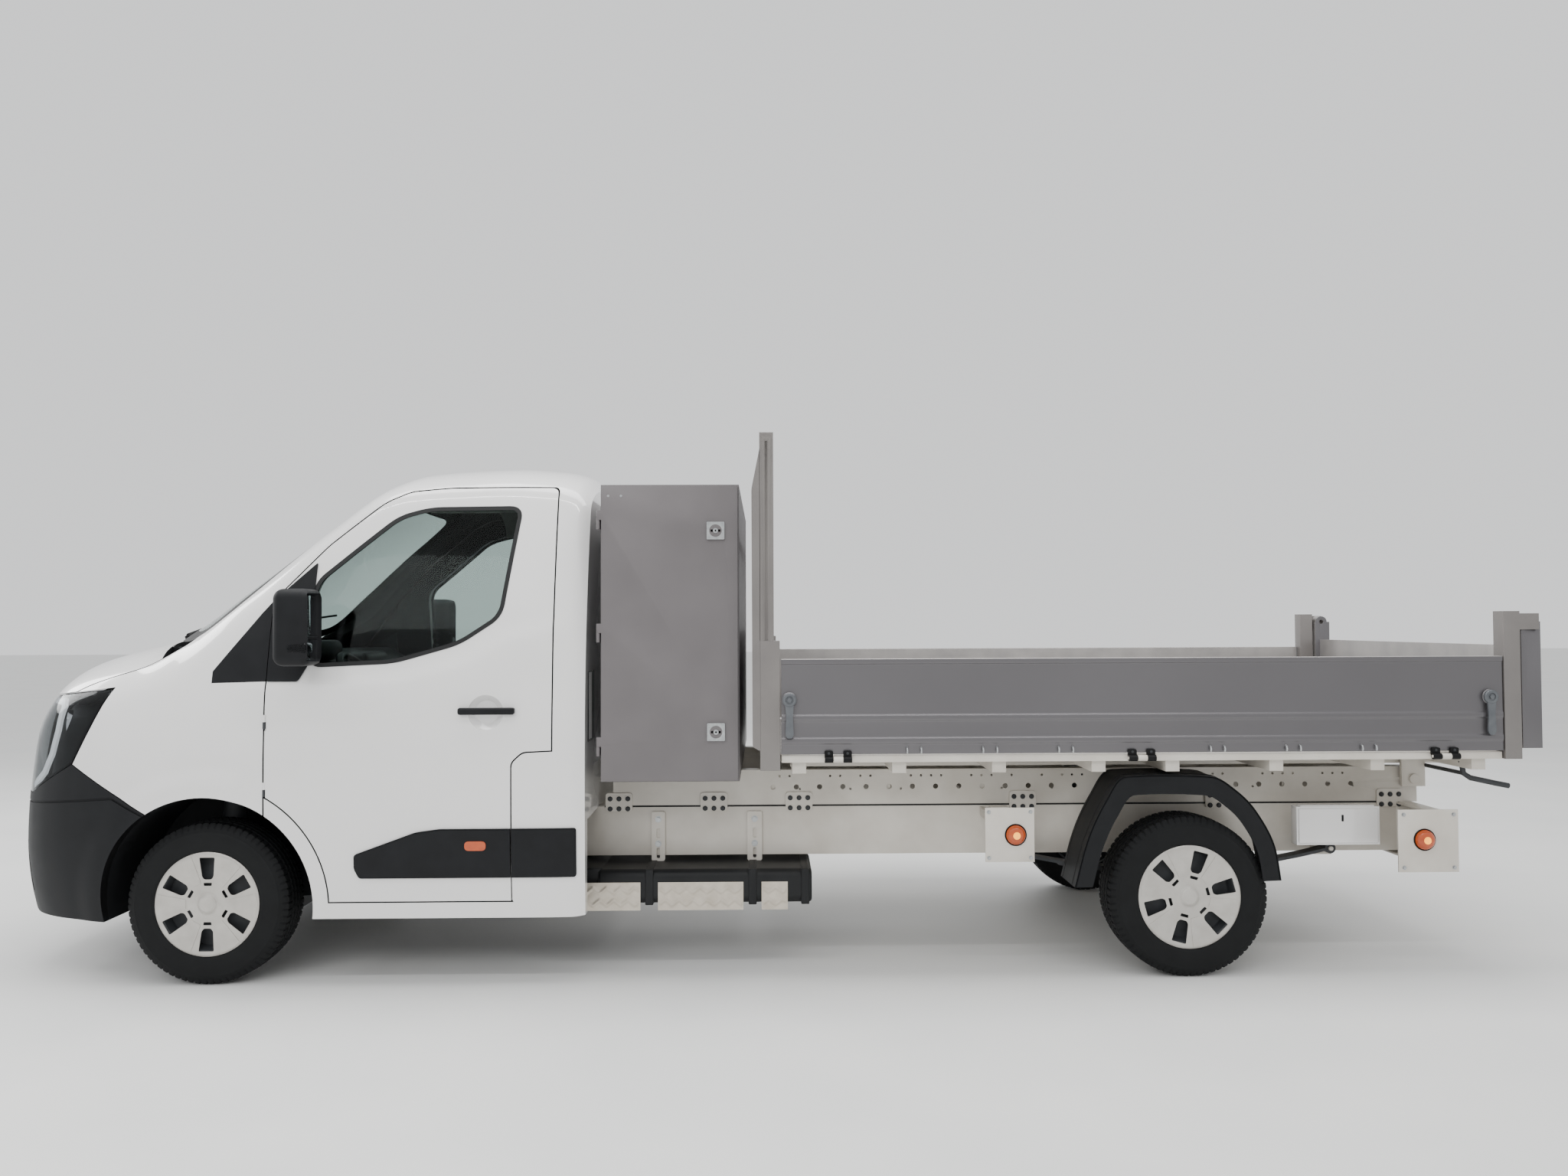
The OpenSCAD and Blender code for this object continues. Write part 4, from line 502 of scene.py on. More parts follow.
for side in (-1, 1):
    for i in range(5):
        y = side * (louvre_y - louvre_pitch * i)
        louvre = oblong((y - louvre_half, y + louvre_half), (1.02, 1.33), 0.008)
        carve(cab, prism(louvre, "X", cab_back - louvre_deep, far))
# Faces deeper than the paint go dark: the trim inside the cab, and painted shade in door gaps and louvre
# slots
darken_deep_faces(cab, painted_deep)
for polygon in cab.data.polygons:
    if polygon.center.x > cab_back - 1.5 * rib_depth:
        polygon.material_index = 0
dress(cab, "cab_shell", "truck", ["cab_body", "cab_floor"], [white_paint, dark_trim_and_shade])

# Front wings: pressed white steel bolted to the cab ahead of the doors, with the round arch rolled inwards.
# A dark shut line is left against the lamp, bumper, bonnet and door; its deep walls take the dark trim as
# painted shade.
line_width = 0.004
for side, label in ((-1, "left"), (1, "right")):
    wing = carve(copied(shell), prism(beside(wing_shares), "Y", *span(side, well_y, far)), how="INTERSECT")
    carve(wing, block((door_front - shut_gap, far), (-far, far), (-far, far)), wheel_well(side),
          prism(grown(beside(bumper_shares), line_width), "Y", -far, far),
          prism(grown(beside(lamp_shares), line_width), "Y", -far, far), bonnet_zone(shut_gap),
          block((-far, cowl_back), (-cowl_half, cowl_half), (cowl_low, far)), screen_zone(),
          prism(grown(beside(quarter_shares), 0.002), "Y", -far, far))
    # The wing's deep edge faces take the dark trim: painted shade in its shut gaps
    darken_deep_faces(wing, painted_deep)
    dress(wing, "front_wing_" + label, "truck", ["front_wings"] if side < 0 else [],
          [white_paint, dark_trim_and_shade])

# Bonnet: one pressed white steel panel that follows the cab's own form between the wings.
# Two flat arms welded under its rear edge turn on the hinge pins in front of the windscreen.
bonnet_pin = (axle_x - 0.285, 0.6228 * cab_height)
arm_y = (0.578, 0.596)
bonnet = carve(carve(copied(outer), bonnet_zone(0.0), how="INTERSECT"),
               cab_loft(roof_wall, roof_wall, inner_drop, roof_wall, rear_wall))
for side in (-1, 1):
    arm = oblong((bonnet_pin[0] - 0.090, bonnet_pin[0] + 0.012),
                 (bonnet_pin[1] - 0.012, bonnet_pin[1] + 0.012), 0.008)
    arm = carve(prism(arm, "Y", *span(side, arm_y[0], arm_y[1])),
                disc(bonnet_pin, 0.0075, "Y", -far, far, 32))
    carve(bonnet, arm, how="UNION")
darken_deep_faces(bonnet, painted_deep)
dress(bonnet, "bonnet_panel", "bonnet", ["bonnet"], [white_paint, dark_trim_and_shade])

# Front bumper: one anthracite moulding with a crease along its upper edge, an intake with bars,
# and a bare number plate holder; its grain is left unpainted.
# Moulded polypropylene, coloured through: dark, dull and finely spark-grained
anthracite = surface("grained_anthracite_polypropylene", "#131416", "#191A1C", 90, 0.55, 1.5, 0.15,
                     Specular_IOR_Level=0.2)
# The same plastic in deep black, for nets and housings
black_plastic = surface("black_moulded_plastic", "#0A0A0B", "#101011", 60, 0.5, 1.2, 0.1,
                        Specular_IOR_Level=0.2)


def ribbon(line, width):
    """A closed outline of even width along a line of points."""
    line = [Vector(p) for p in line]
    sides = []
    for i, p in enumerate(line):
        run = (line[min(i + 1, len(line) - 1)] - line[max(i - 1, 0)]).normalized()
        sides.append((p + Vector((-run.y, run.x)) * width / 2, p - Vector((-run.y, run.x)) * width / 2))
    return [tuple(a) for a, b in sides] + [tuple(b) for a, b in reversed(sides)]


def skin(depth, thickness):
    """A sheet between two depths under the cab's outer form."""
    return carve(cab_loft(depth), cab_loft(depth + thickness, drop=0.02))


intake = oblong((-0.43, 0.43), (0.39, 0.54), 0.03)
bumper = carve(copied(shell), prism(beside(bumper_shares), "Y", -far, far), how="INTERSECT")
carve(bumper, wheel_well(-1), wheel_well(1), prism(intake, "X", -far, axle_x))
crease = [(axle_x + x, z) for x, z in ((-1.05, 0.752), (-0.873, 0.762), (-0.403, 0.799), (-0.252, 0.726),
                                       (-0.18, 0.70))]
for line in (crease,
             [(axle_x + x, z) for x, z in ((-0.945, 0.735), (-0.930, 0.66), (-0.880, 0.47),
                                           (-0.870, 0.36))]):
    carve(bumper, carve(prism(ribbon(line, 0.010), "Y", -far, far), cab_loft(0.005)))
darken_deep_faces(bumper, 0.012)
dress(bumper, "bumper_moulding", "truck", ["front_bumper"], [anthracite, black_plastic])

# Grille and intake net: black moulded slats set back between the headlamps, with a net behind them.
# Slats and bars follow the nose and run into one frame at their ends, clipped in behind the bumper.
grille_low, grille_top = lamp_shares[0][1] * cab_height + 0.030, lamp_shares[5][1] * cab_height
slat_count, slat_gap = 6, 0.026
grille = carve(skin(0.008, 0.026), prism(beside(lamp_shares), "Y", -far, far),
               block((-far, axle_x), (-lamp_y, lamp_y), (-far, far)), how="INTERSECT")
for i in range(slat_count):
    z = grille_low + i * (grille_top - grille_low) / slat_count
    slot = oblong((-lamp_y + 0.03, lamp_y - 0.03), (z, z + slat_gap), 0.010)
    carve(grille, prism(slot, "X", -far, axle_x))
net = carve(skin(0.034, 0.006), prism(beside(lamp_shares), "Y", -far, far),
            block((-far, axle_x), (-lamp_y + 0.012, lamp_y - 0.012), (-far, far)), how="INTERSECT")
bars = carve(skin(0.020, 0.020), block((-far, axle_x - 0.5), (-0.445, 0.445), (0.37, 0.56)), how="INTERSECT")
for i in range(4):
    z = 0.398 + i * 0.0365
    carve(bars, prism(oblong((-0.42, 0.42), (z, z + 0.025), 0.008), "X", -far, axle_x))
for part in (net, bars):
    carve(grille, part, how="UNION")
dress(grille, "grille_slats", "truck", ["grille"], [black_plastic])
plate = carve(skin(-0.004, 0.010), prism(oblong((-0.26, 0.26), (0.60, 0.72), 0.01), "X",
                                       -far, axle_x - 0.6), how="INTERSECT")
dress(plate, "bare_number_plate_holder", "truck", [], [black_plastic])

# Headlamps: a smoked moulded lens over a dark housing with two bright bowls and a white light guide.
# The lens follows the corner of the nose from the grille round to the wing.
# Polycarbonate lens with a smoke tint: hard and glossy
lens_clear = surface("smoked_polycarbonate", "#A9ADB0", "#B2B6B8", 400, 0.01, 300, 0.001, spread=0.01,
                     Transmission_Weight=1.0, IOR=1.2)
# Aluminium vapour on a polished bowl: a bright mirror with a slight haze
reflector = surface("vapour_aluminium", "#D9DBDD", "#E3E5E6", 40, 0.12, 2, 0.02, metallic=1.0, spread=0.04)
# Milk-white acrylic light guide: even and bright
light_guide = surface("opal_acrylic", "#F1F2F2", "#F7F8F8", 60, 0.25, 3, 0.02,
                      Emission_Color=linear("#F4F6FA"), Emission_Strength=1.1)
# Amber acrylic with its lamp lit: saturated orange with a gloss
amber = surface("amber_acrylic", "#963800", "#A64504", 30, 0.18, 3, 0.05, coat=0.6,
                Emission_Color=linear("#FF5200"), Emission_Strength=0.12)


def lathe(profile, centre, axis, segments=64):
    """A closed profile of (radius, height) points turned about an axis that passes through a centre."""
    axis = Vector(axis).normalized()
    across = axis.orthogonal().normalized()
    beside_it = axis.cross(across)
    points = []
    for i in range(segments):
        turn = 2 * math.pi * i / segments
        out = across * math.cos(turn) + beside_it * math.sin(turn)
        points += [Vector(centre) + out * r + axis * h for r, h in profile]
    count = len(profile)
    faces = []
    for i in range(segments):
        j = (i + 1) % segments
        faces += [(i * count + k, i * count + (k + 1) % count, j * count + (k + 1) % count, j * count + k)
                  for k in range(count)]
    piece = shape("lathe", points, faces)
    work = bmesh.new()
    work.from_mesh(piece.data)
    bmesh.ops.remove_doubles(work, verts=work.verts, dist=1e-6)
    bmesh.ops.dissolve_degenerate(work, edges=work.edges, dist=1e-7)
    bmesh.ops.recalc_face_normals(work, faces=work.faces)
    work.to_mesh(piece.data)
    work.free()
    return piece


def joined(pieces):
    """Several shapes as one object, left as they are."""
    base = pieces[0]
    work = bmesh.new()
    for piece in pieces:
        work.from_mesh(piece.data)
    work.to_mesh(base.data)
    work.free()
    for piece in pieces[1:]:
        bpy.data.objects.remove(piece)
    return base


for side, label in ((-1, "left"), (1, "right")):
    outside = span(side, lamp_y + line_width, far)
    lamp_outline = grown(beside(lamp_shares), -0.003)
    lens = carve(skin(0.001, 0.004), prism(lamp_outline, "Y", *outside), how="INTERSECT")
    dress(lens, "headlamp_lens_" + label, "truck", ["headlamps"] if side < 0 else [], [lens_clear])
    housing = carve(carve(cab_loft(0.006), cab_loft(0.072, drop=0.02)), prism(lamp_outline, "Y", *outside),
                    how="INTERSECT")
    hollow = carve(cab_loft(-0.01), cab_loft(0.058))
    carve(hollow, prism(grown(lamp_outline, -0.010), "Y", *span(side, lamp_y + 0.018, far)), how="INTERSECT")
    carve(housing, hollow)
    dress(housing, "headlamp_housing_" + label, "truck", [], [black_plastic])
    bowls = []
    for x, y, z, r in ((-0.800, 0.600, 1.010, 0.075), (-0.735, 0.690, 1.090, 0.062)):
        profile = [(0.0, 0.030), (r * 0.5, 0.024), (r * 0.85, 0.008), (r, -0.014), (r + 0.006, -0.014),
                   (r + 0.006, 0.012), (r * 0.6, 0.034), (0.0, 0.038)]
        bowls.append(lathe(profile, (axle_x + x, side * y, z), (0.94, -0.34 * side, 0.0)))
    dress(joined(bowls), "headlamp_bowls_" + label, "truck", [], [reflector])
    guide = carve(carve(cab_loft(0.007), cab_loft(0.020, drop=0.02)),
                  prism(grown(lamp_outline, -0.012), "Y", *outside), how="INTERSECT")
    guide_line = [(axle_x + x, z) for x, z in ((-0.800, 1.205), (-0.722, 1.198), (-0.706, 1.176),
                                               (-0.712, 1.08), (-0.735, 0.975), (-0.775, 0.895),
                                               (-0.860, 0.828))]
    carve(guide, prism(ribbon(guide_line, 0.024), "Y", -far, far), how="INTERSECT")
    dress(guide, "headlamp_light_guide_" + label, "truck", [], [light_guide])

# Windscreen: one curved sheet of laminated glass bonded into the cab, with a black printed border.
# A louvred plastic panel closes the gap to the bonnet and carries two wiper arms.
# Lightly tinted laminated glass: clear, hard and mirror smooth
tinted_glass = surface("tinted_laminated_glass", "#C6D2CF", "#CBD7D4", 500, 0.02, 4, 0.005, spread=0.01,
                       Transmission_Weight=1.0, IOR=1.2)
screen = carve(skin(0.004, 0.005), screen_zone(-0.0005), how="INTERSECT")
dress(screen, "windscreen_glass", "truck", ["windscreen"], [tinted_glass])
border = carve(carve(skin(0.0025, 0.0013), screen_zone(-0.0005), how="INTERSECT"), screen_zone(-0.045))
dress(border, "windscreen_border", "truck", [], [black_plastic])

cowl = carve(skin(0.025, 0.020), block((-far, cowl_back), (-cowl_half, cowl_half), (cowl_low, far)),
             how="INTERSECT")
carve(cowl, prism(bonnet_plan(shut_gap), "Z", -far, far), screen_zone())
for side in (-1, 1):
    carve(cowl, block((-far, firewall_x[1]), span(side, 0.634, 0.558), (-far, far)))
for i in range(22):
    y = -0.50 + i * 0.0476
    carve(cowl, prism(oblong((-far, axle_x), (y, y + 0.018), 0.004), "Z", 1.452, far))
dress(cowl, "cowl_louvres", "truck", ["cab_trim"], [black_plastic])


def tube(path, radius, sides=12, closed=False):
    """A round bar along a path of points, with flat ends or joined end to end."""
    path = [Vector(p) for p in path]
    count = len(path)
    across = None
    points = []
    for i, p in enumerate(path):
        after = path[(i + 1) % count] if closed or i < count - 1 else p
        before = path[i - 1] if closed or i > 0 else p
        run = (after - before).normalized()
        across = run.orthogonal() if across is None else across - run * across.dot(run)
        across.normalize()
        up = run.cross(across)
        size = radius[i] if isinstance(radius, (list, tuple)) else radius
        turns = [2 * math.pi * k / sides for k in range(sides)]
        points += [p + across * size * math.cos(a) + up * size * math.sin(a) for a in turns]
    faces = []
    for i in range(count if closed else count - 1):
        j = (i + 1) % count
        faces += [(i * sides + k, i * sides + (k + 1) % sides, j * sides + (k + 1) % sides, j * sides + k)
                  for k in range(sides)]
    if not closed:
        faces += [list(range(sides)), list(range((count - 1) * sides, count * sides))]
    return shape("tube", points, faces)


def on_nose(y, z, out):
    """The point on the cab's front at a width and height, lifted off the surface."""
    at, normal, _, _ = outer_tree.ray_cast(Vector((-far, y, z)), Vector((1, 0, 0)))
    return at + (normal if normal.x < 0 else -normal) * out


wipers = []
for y0, y1 in ((-0.42, 0.16), (0.16, 0.70)):
    foot, tip = (y0, 1.475), (y1, 1.560)
    arm = [on_nose(foot[0] + (tip[0] - foot[0]) * t, foot[1] + (tip[1] - foot[1]) * t,
                   0.016 + 0.012 * math.sin(math.pi * t)) for t in (0, 0.1, 0.25, 0.45, 0.62)]
    wipers.append(tube(arm, [0.011, 0.009, 0.008, 0.006, 0.005]))
    blade = [on_nose(y0 + (y1 - y0) * t + 0.04, 1.502 + 0.085 * t, 0.006) for t in np.linspace(0.12, 1.0, 16)]
    wipers.append(tube(blade, 0.006, 8))
    wipers.append(lathe([(0, 0), (0.020, 0), (0.017, 0.022), (0, 0.026)], on_nose(y0, 1.474, -0.004),
                        (-0.5, 0, 0.87), 24))
dress(joined(wipers), "wipers", "truck", [], [black_plastic])

# Quarter trims and rub strips: anthracite mouldings clipped to the flanks, the triangle ahead of the door
# and the broad strip along the sill that carries an amber marker.
strip_shares = [(0.629, 0.219), (0.637, 0.201), (0.987, 0.201), (0.987, 0.292), (0.767, 0.292),
                (0.728, 0.286), (0.629, 0.245)]
strip_out = 0.014
flap_x, door_rear = nose_x + 0.881 * cab_length, nose_x + 0.947 * cab_length


def rub_strip(side, x_from, x_to):
    """A length of the sill moulding, standing proud of the flank."""
    strip = carve(cab_loft(-strip_out), copied(outer))
    outline = rounded(beside(strip_shares), 0.012)
    carve(strip, prism(outline, "Y", *span(side, 0.0, far)), block((x_from, x_to), (-far, far), (-far, far)),
          how="INTERSECT")
    carve(strip, carve(prism(ribbon(outline + outline[:1], 0.010), "Y", *span(side, 0.0, far)),
                       cab_loft(-strip_out + 0.004)))
    return strip


trims = []
for side in (-1, 1):
    quarter = prism(rounded(beside(quarter_shares), 0.012), "Y", *span(side, 0.0, far))
    trims.append(carve(skin(0.0, 0.020), quarter, how="INTERSECT"))
    trims.append(rub_strip(side, (flap_x if side < 0 else door_rear) + shut_gap, far))
dress(joined(trims), "flank_trims", "truck", [], [anthracite])

# Doors: pressed white steel with a folded frame round the glass, a dark trim card inside and a rubber seal.
# Each carries its mirror on a stalk, a pull handle over a shallow scoop, and its length of the sill moulding.
# EPDM seal rubber: dead black with a soft dull skin
seal_rubber = surface("black_seal_rubber", "#0F1011", "#151617", 40, 0.72, 1.0, 0.08)
# Second-surface mirror glass: a plain bright reflection
mirror_glass = surface("silvered_mirror_glass", "#C9CED2", "#D2D6D9", 300, 0.03, 4, 0.004, metallic=1.0,
                       spread=0.01)
arch_meets_door = axle_z + math.sqrt(door_arch_radius ** 2 - (door_front - axle_x) ** 2)
hinge_heights = (arch_meets_door + 0.030, arch_meets_door + 0.316)
window_outline = rounded(beside(window_shares), 0.055, 7)
marker_x, marker_z = axle_x + 1.154, 0.597
foot_shares = [(0.4839, 0.566), (0.4839, 0.7195), (0.552, 0.790), (0.552, 0.60), (0.535, 0.566)]


def rounded_box(low, high, radius, segments=4):
    """A box with every edge rounded off."""
    piece = block(*zip(low, high))
    bevel = piece.modifiers.new("round", "BEVEL")
    bevel.width, bevel.segments, bevel.limit_method = radius, segments, "NONE"
    return bake(piece)


def to_side(piece, side):
    """Mirrors a piece that is drawn on the right side of the truck, if it belongs on the left."""
    piece.data.transform(Matrix.Scale(side, 4, (0, 1, 0)))
    if side < 0:
        piece.data.flip_normals()


for side, label in ((-1, "left"), (1, "right")):
    body = "door_" + label
    half = span(side, 0.0, far)
    door = carve(carve(copied(outer), door_zone(side, 0.0, side < 0), how="INTERSECT"), inner_loft(),
                 prism(window_outline, "Y", *half))
    axis = (door_front - 0.0006, side * 1.030)
    for z in hinge_heights:
        carve(door, disc(axis, 0.0078, "Z", z - 0.037, z + 0.0005, 32))
    dish = lathe([(0.0, -0.030), (0.050, -0.024), (0.075, 0.0), (0.075, 0.05), (0.0, 0.05)],
                 (axle_x + 1.195, side * 1.026, 1.160), (0, side, 0), 48)
    carve(door, dish)
    darken_deep_faces(door, 0.045)
    dress(door, "door_panel_" + label, body, ["door_" + label], [white_paint, dark_trim_and_shade])
    knuckles = [carve(disc(axis, 0.0055, "Z", z, z + 0.030, 32), disc(axis, 0.0035, "Z", -far, far, 24))
                for z in hinge_heights]
    dress(joined(knuckles), "door_knuckles_" + label, body, [], [white_paint])

    seal = carve(skin(-0.002, 0.014), prism(grown(window_outline, 0.006), "Y", *half), how="INTERSECT")
    carve(seal, prism(grown(window_outline, -0.012), "Y", *half))
    dress(seal, "window_seal_" + label, body, [], [seal_rubber])
    pane = carve(skin(0.004, 0.005), prism(grown(window_outline, -0.0005), "Y", *half), how="INTERSECT")
    dress(pane, "window_glass_" + label, body, ["door_glass_" + label], [tinted_glass])

    card = carve(cab_loft(side_wall + 0.0005), cab_loft(side_wall + 0.014, drop=0.02))
    card_zone = block((-far, far), (-far, far), (0.50, 0.585 * cab_height))
    carve(card, prism(grown(beside(door_shares), -0.035), "Y", *half), card_zone, how="INTERSECT")
    carve(card, disc((axle_x, axle_z), door_arch_radius + 0.03, "Y", -far, far, 96))
    rest = rounded_box((axle_x + 0.62, 0.885, 1.00), (axle_x + 1.12, 0.975, 1.055), 0.02)
    pocket = rounded_box((axle_x + 0.60, 0.900, 0.52), (axle_x + 1.22, 0.972, 0.70), 0.02)
    for extra in (rest, pocket):
        to_side(extra, side)
    dress(joined([card, rest, pocket]), "door_card_" + label, body, [], [dark_trim_and_shade])

    strip = rub_strip(side, -far, flap_x if side < 0 else door_rear)
    handle = [rounded_box((axle_x + 1.080, 1.036, 1.152), (axle_x + 1.320, 1.060, 1.182), 0.010),
              rounded_box((axle_x + 1.084, 0.995, 1.154), (axle_x + 1.112, 1.045, 1.180), 0.006),
              rounded_box((axle_x + 1.290, 0.995, 1.154), (axle_x + 1.318, 1.045, 1.180), 0.006)]
    foot = carve(skin(-0.006, 0.010), prism(rounded(beside(foot_shares), 0.008), "Y", *half), how="INTERSECT")
    carve(foot, prism(grown(window_outline, 0.004), "Y", *half))
    arms = [rounded_box((axle_x + 0.395, 0.960, z - 0.022), (axle_x + 0.455, 1.090, z + 0.022), 0.015)
            for z in (1.402, 1.470)]
    head = rounded_box((axle_x + 0.358, 1.047, 1.366), (axle_x + 0.520, 1.233, 1.686), 0.042, 6)
    carve(head, rounded_box((axle_x + 0.484, 1.062, 1.384), (axle_x + 0.580, 1.220, 1.668), 0.012))
    frame_bar = rounded_box((axle_x + 0.482, 1.060, 1.478), (axle_x + 0.495, 1.222, 1.488), 0.003)
    fittings = handle + arms + [head, frame_bar]
    glass = rounded_box((axle_x + 0.4845, 1.063, 1.385), (axle_x + 0.4875, 1.219, 1.667), 0.001, 2)
    repeater = rounded_box((axle_x + 0.425, 1.150, 1.420), (axle_x + 0.505, 1.2338, 1.462), 0.010)
    for part in fittings + [glass, repeater]:
        to_side(part, side)
    dress(joined([strip, foot] + fittings), "door_fittings_" + label, body, ["door_fittings_" + label],
          [anthracite])
    dress(glass, "mirror_glass_" + label, body, [], [mirror_glass])
    dress(repeater, "mirror_repeater_" + label, body, [], [lens_clear])
    marker = carve(carve(cab_loft(-strip_out - 0.004), cab_loft(-0.002)),
                   prism(oblong((marker_x - 0.045, marker_x + 0.045), (marker_z - 0.02, marker_z + 0.02),
                                0.019), "Y", *half), how="INTERSECT")
    dress(marker, "sill_marker_" + label, body, [], [amber])

# Inside the cab: a moulded dashboard with a binnacle and vents, a three-spoke wheel on its column,
# and a grey felt lining glued under the roof.
# Grey needle-felt headlining: soft and even
lining = surface("grey_felt_headlining", "#7C7B78", "#868581", 30, 0.9, 1.5, 0.3)
liner = carve(carve(cab_loft(side_wall + 0.001, roof_wall + 0.001, 0.0, 0.3, rear_wall + 0.001),
                    cab_loft(side_wall + 0.010, roof_wall + 0.010, 0.02, 0.3, rear_wall + 0.010)),
              block((axle_x + 0.90, far), (-far, far), (2.03, far)), how="INTERSECT")
dress(liner, "headlining", "truck", [], [lining])


def bevelled(node, width, segments=3):
    """A copy of a CAD node, joined up and with its edges rounded."""
    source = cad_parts[node]
    piece = bpy.data.objects.new(node, source.data.copy())
    piece.data.materials.clear()
    bpy.context.scene.collection.objects.link(piece)
    work = bmesh.new()
    work.from_mesh(piece.data)
    bmesh.ops.remove_doubles(work, verts=work.verts, dist=1e-5)
    bmesh.ops.dissolve_limit(work, angle_limit=math.radians(1.0), verts=work.verts, edges=work.edges)
    work.to_mesh(piece.data)
    work.free()
    bevel = piece.modifiers.new("round", "BEVEL")
    bevel.width, bevel.segments = width, segments
    bevel.limit_method, bevel.angle_limit = "ANGLE", math.radians(40)
    return bake(piece)


dash_x, dash_top = axle_x - 0.160, 0.6075 * cab_height
dash = [bevelled("dashboard", 0.018)]
dash.append(rounded_box((dash_x + 0.30, -0.76, dash_top - 0.02), (dash_x + 0.53, -0.36, dash_top + 0.075),
                        0.035, 5))
dash.append(rounded_box((dash_x + 0.48, -0.20, dash_top - 0.36), (dash_x + 0.585, 0.16, dash_top + 0.010),
                        0.03, 5))
for y in (-0.70, -0.27, 0.23, 0.70):
    dash.append(lathe([(0, 0), (0.040, 0), (0.044, 0.012), (0.036, 0.016), (0.034, 0.008), (0, 0.008)],
                      (dash_x + 0.535, y, dash_top - 0.115), (1, 0, 0.3), 32))
dress(joined(dash), "dashboard_moulding", "truck", ["dashboard"], [dark_trim_and_shade])

wheel_at = Vector((axle_x + 0.545, -0.560, dash_top - 0.430 + 0.300))
rise = math.radians(40)
column = Vector((math.cos(rise), 0.0, math.sin(rise)))
wide, tall = Vector((0, 1, 0)), Vector((-math.sin(rise), 0.0, math.cos(rise)))
rim_radius = 0.178
ring = tube([wheel_at + (wide * math.cos(a) + tall * math.sin(a)) * rim_radius
             for a in np.linspace(0, 2 * math.pi, 65)[:-1]], 0.0155, 14, closed=True)
pad = [(0, -0.045), (0.058, -0.045), (0.064, -0.025), (0.060, 0.004), (0.044, 0.016), (0, 0.020)]
shaft = [(0, -0.30), (0.028, -0.30), (0.028, -0.11), (0.046, -0.10), (0.050, -0.045), (0, -0.045)]
parts = [ring, lathe(pad, wheel_at, column, 40), lathe(shaft, wheel_at, column, 32)]
for a in (math.radians(0), math.radians(180), math.radians(270)):
    out = wide * math.cos(a) + tall * math.sin(a)
    spoke = ((0.045, 0.015), (0.09, 0.018), (0.14, 0.012), (0.175, 0.002))
    parts.append(tube([wheel_at + out * r - column * d for r, d in spoke],
                      [0.022, 0.018, 0.014, 0.012], 12))
for a in (-1, 1):
    parts.append(tube([wheel_at - column * 0.075 + wide * a * r for r in (0.03, 0.10, 0.20)],
                      [0.009, 0.008, 0.011], 10))
dress(joined(parts), "steering_wheel_rim", "truck", ["steering_wheel"], [black_plastic])

# Seats: a driver's seat and a double bench on steel boxes, foam in dark woven covers.
# Each cushion, back and headrest is sewn as a cover of its own, with channels stitched along it.
# Flat-woven polyester: charcoal, dull, with a soft edge sheen; 3 mm threads, drawn coarse enough to show
seat_cloth = surface("charcoal_woven_polyester", "#26282B", "#303235", 120, 0.88, 1.5, 0.2, Sheen_Weight=0.25)
cloth_tree = seat_cloth.node_tree
thread_scale = 0.314 / 0.003
threads = [add_node(cloth_tree, "ShaderNodeTexWave", {"bands_direction": way}, Scale=thread_scale,
                    Vector=cloth_tree.nodes["Texture Coordinate"].outputs["Object"]).outputs["Fac"]
           for way in ("Y", "DIAGONAL")]
weave = add_node(cloth_tree, "ShaderNodeMath", {"operation": "MAXIMUM"}, i0=threads[0], i1=threads[1])
raised = add_node(cloth_tree, "ShaderNodeBump", None, Height=weave.outputs[0], Strength=0.4, Distance=0.0006,
                  Normal=cloth_tree.nodes["Bump"].outputs["Normal"])
cloth_tree.links.new(raised.outputs["Normal"], cloth_tree.nodes["Principled BSDF"].inputs["Normal"])
seat_length, seat_height, swell_room = 0.560, 0.860, 0.012
voxel, swell_cap, pressure = 0.014, 0.024, 4.0


def stuffed(piece, channels, facing):
    """Swells a closed shape as foam fills a sewn cover, then draws in stitched channels on one side."""
    remesh = piece.modifiers.new("even", "REMESH")
    remesh.mode, remesh.voxel_size = "VOXEL", voxel
    bake(piece)
    size = len(piece.data.vertices) * 3
    before, after = np.empty(size), np.empty(size)
    piece.data.vertices.foreach_get("co", before)
    cover = piece.modifiers.new("cover", "CLOTH")
    cover.settings.use_pressure = True
    cover.settings.uniform_pressure_force = pressure
    cover.settings.effector_weights.gravity = 0.0
    for step in range(1, 21):
        bpy.context.scene.frame_set(step)
    bake(piece)
    bpy.context.scene.frame_set(1)
    piece.data.vertices.foreach_get("co", after)
    move = (after - before).reshape(-1, 3)
    length = np.linalg.norm(move, axis=1, keepdims=True)
    placed = before.reshape(-1, 3) + move * np.minimum(1.0, swell_cap / np.maximum(length, 1e-9))
    placed[:, 2] = np.maximum(placed[:, 2], seat_box_top + 0.001)
    piece.data.vertices.foreach_set("co", placed.ravel())
    finer = piece.modifiers.new("finer", "SUBSURF")
    finer.levels = finer.render_levels = 1
    bake(piece)
    count = len(piece.data.vertices)
    at, normals = np.empty(count * 3), np.empty(count * 3)
    piece.data.vertices.foreach_get("co", at)
    piece.data.vertices.foreach_get("normal", normals)
    at, normals = at.reshape(-1, 3), normals.reshape(-1, 3)
    near = np.min(abs(at[:, 1:2] - np.array(channels)[None, :]), axis=1)
    drawn_in = 0.011 * np.maximum(normals @ np.array(facing), 0.0) * np.exp(-(near / 0.009) ** 2)
    piece.data.vertices.foreach_set("co", (at - normals * drawn_in[:, None]).ravel())
    piece.data.update()
    return piece


def seat_outline(shares):
    """Part of the seat's side view, drawn a little small so that it can swell."""
    points = [(seat_x[0] + s * seat_length, seat_box_top + t * seat_height) for s, t in shares]
    return rounded(grown(points, -swell_room), 0.02)


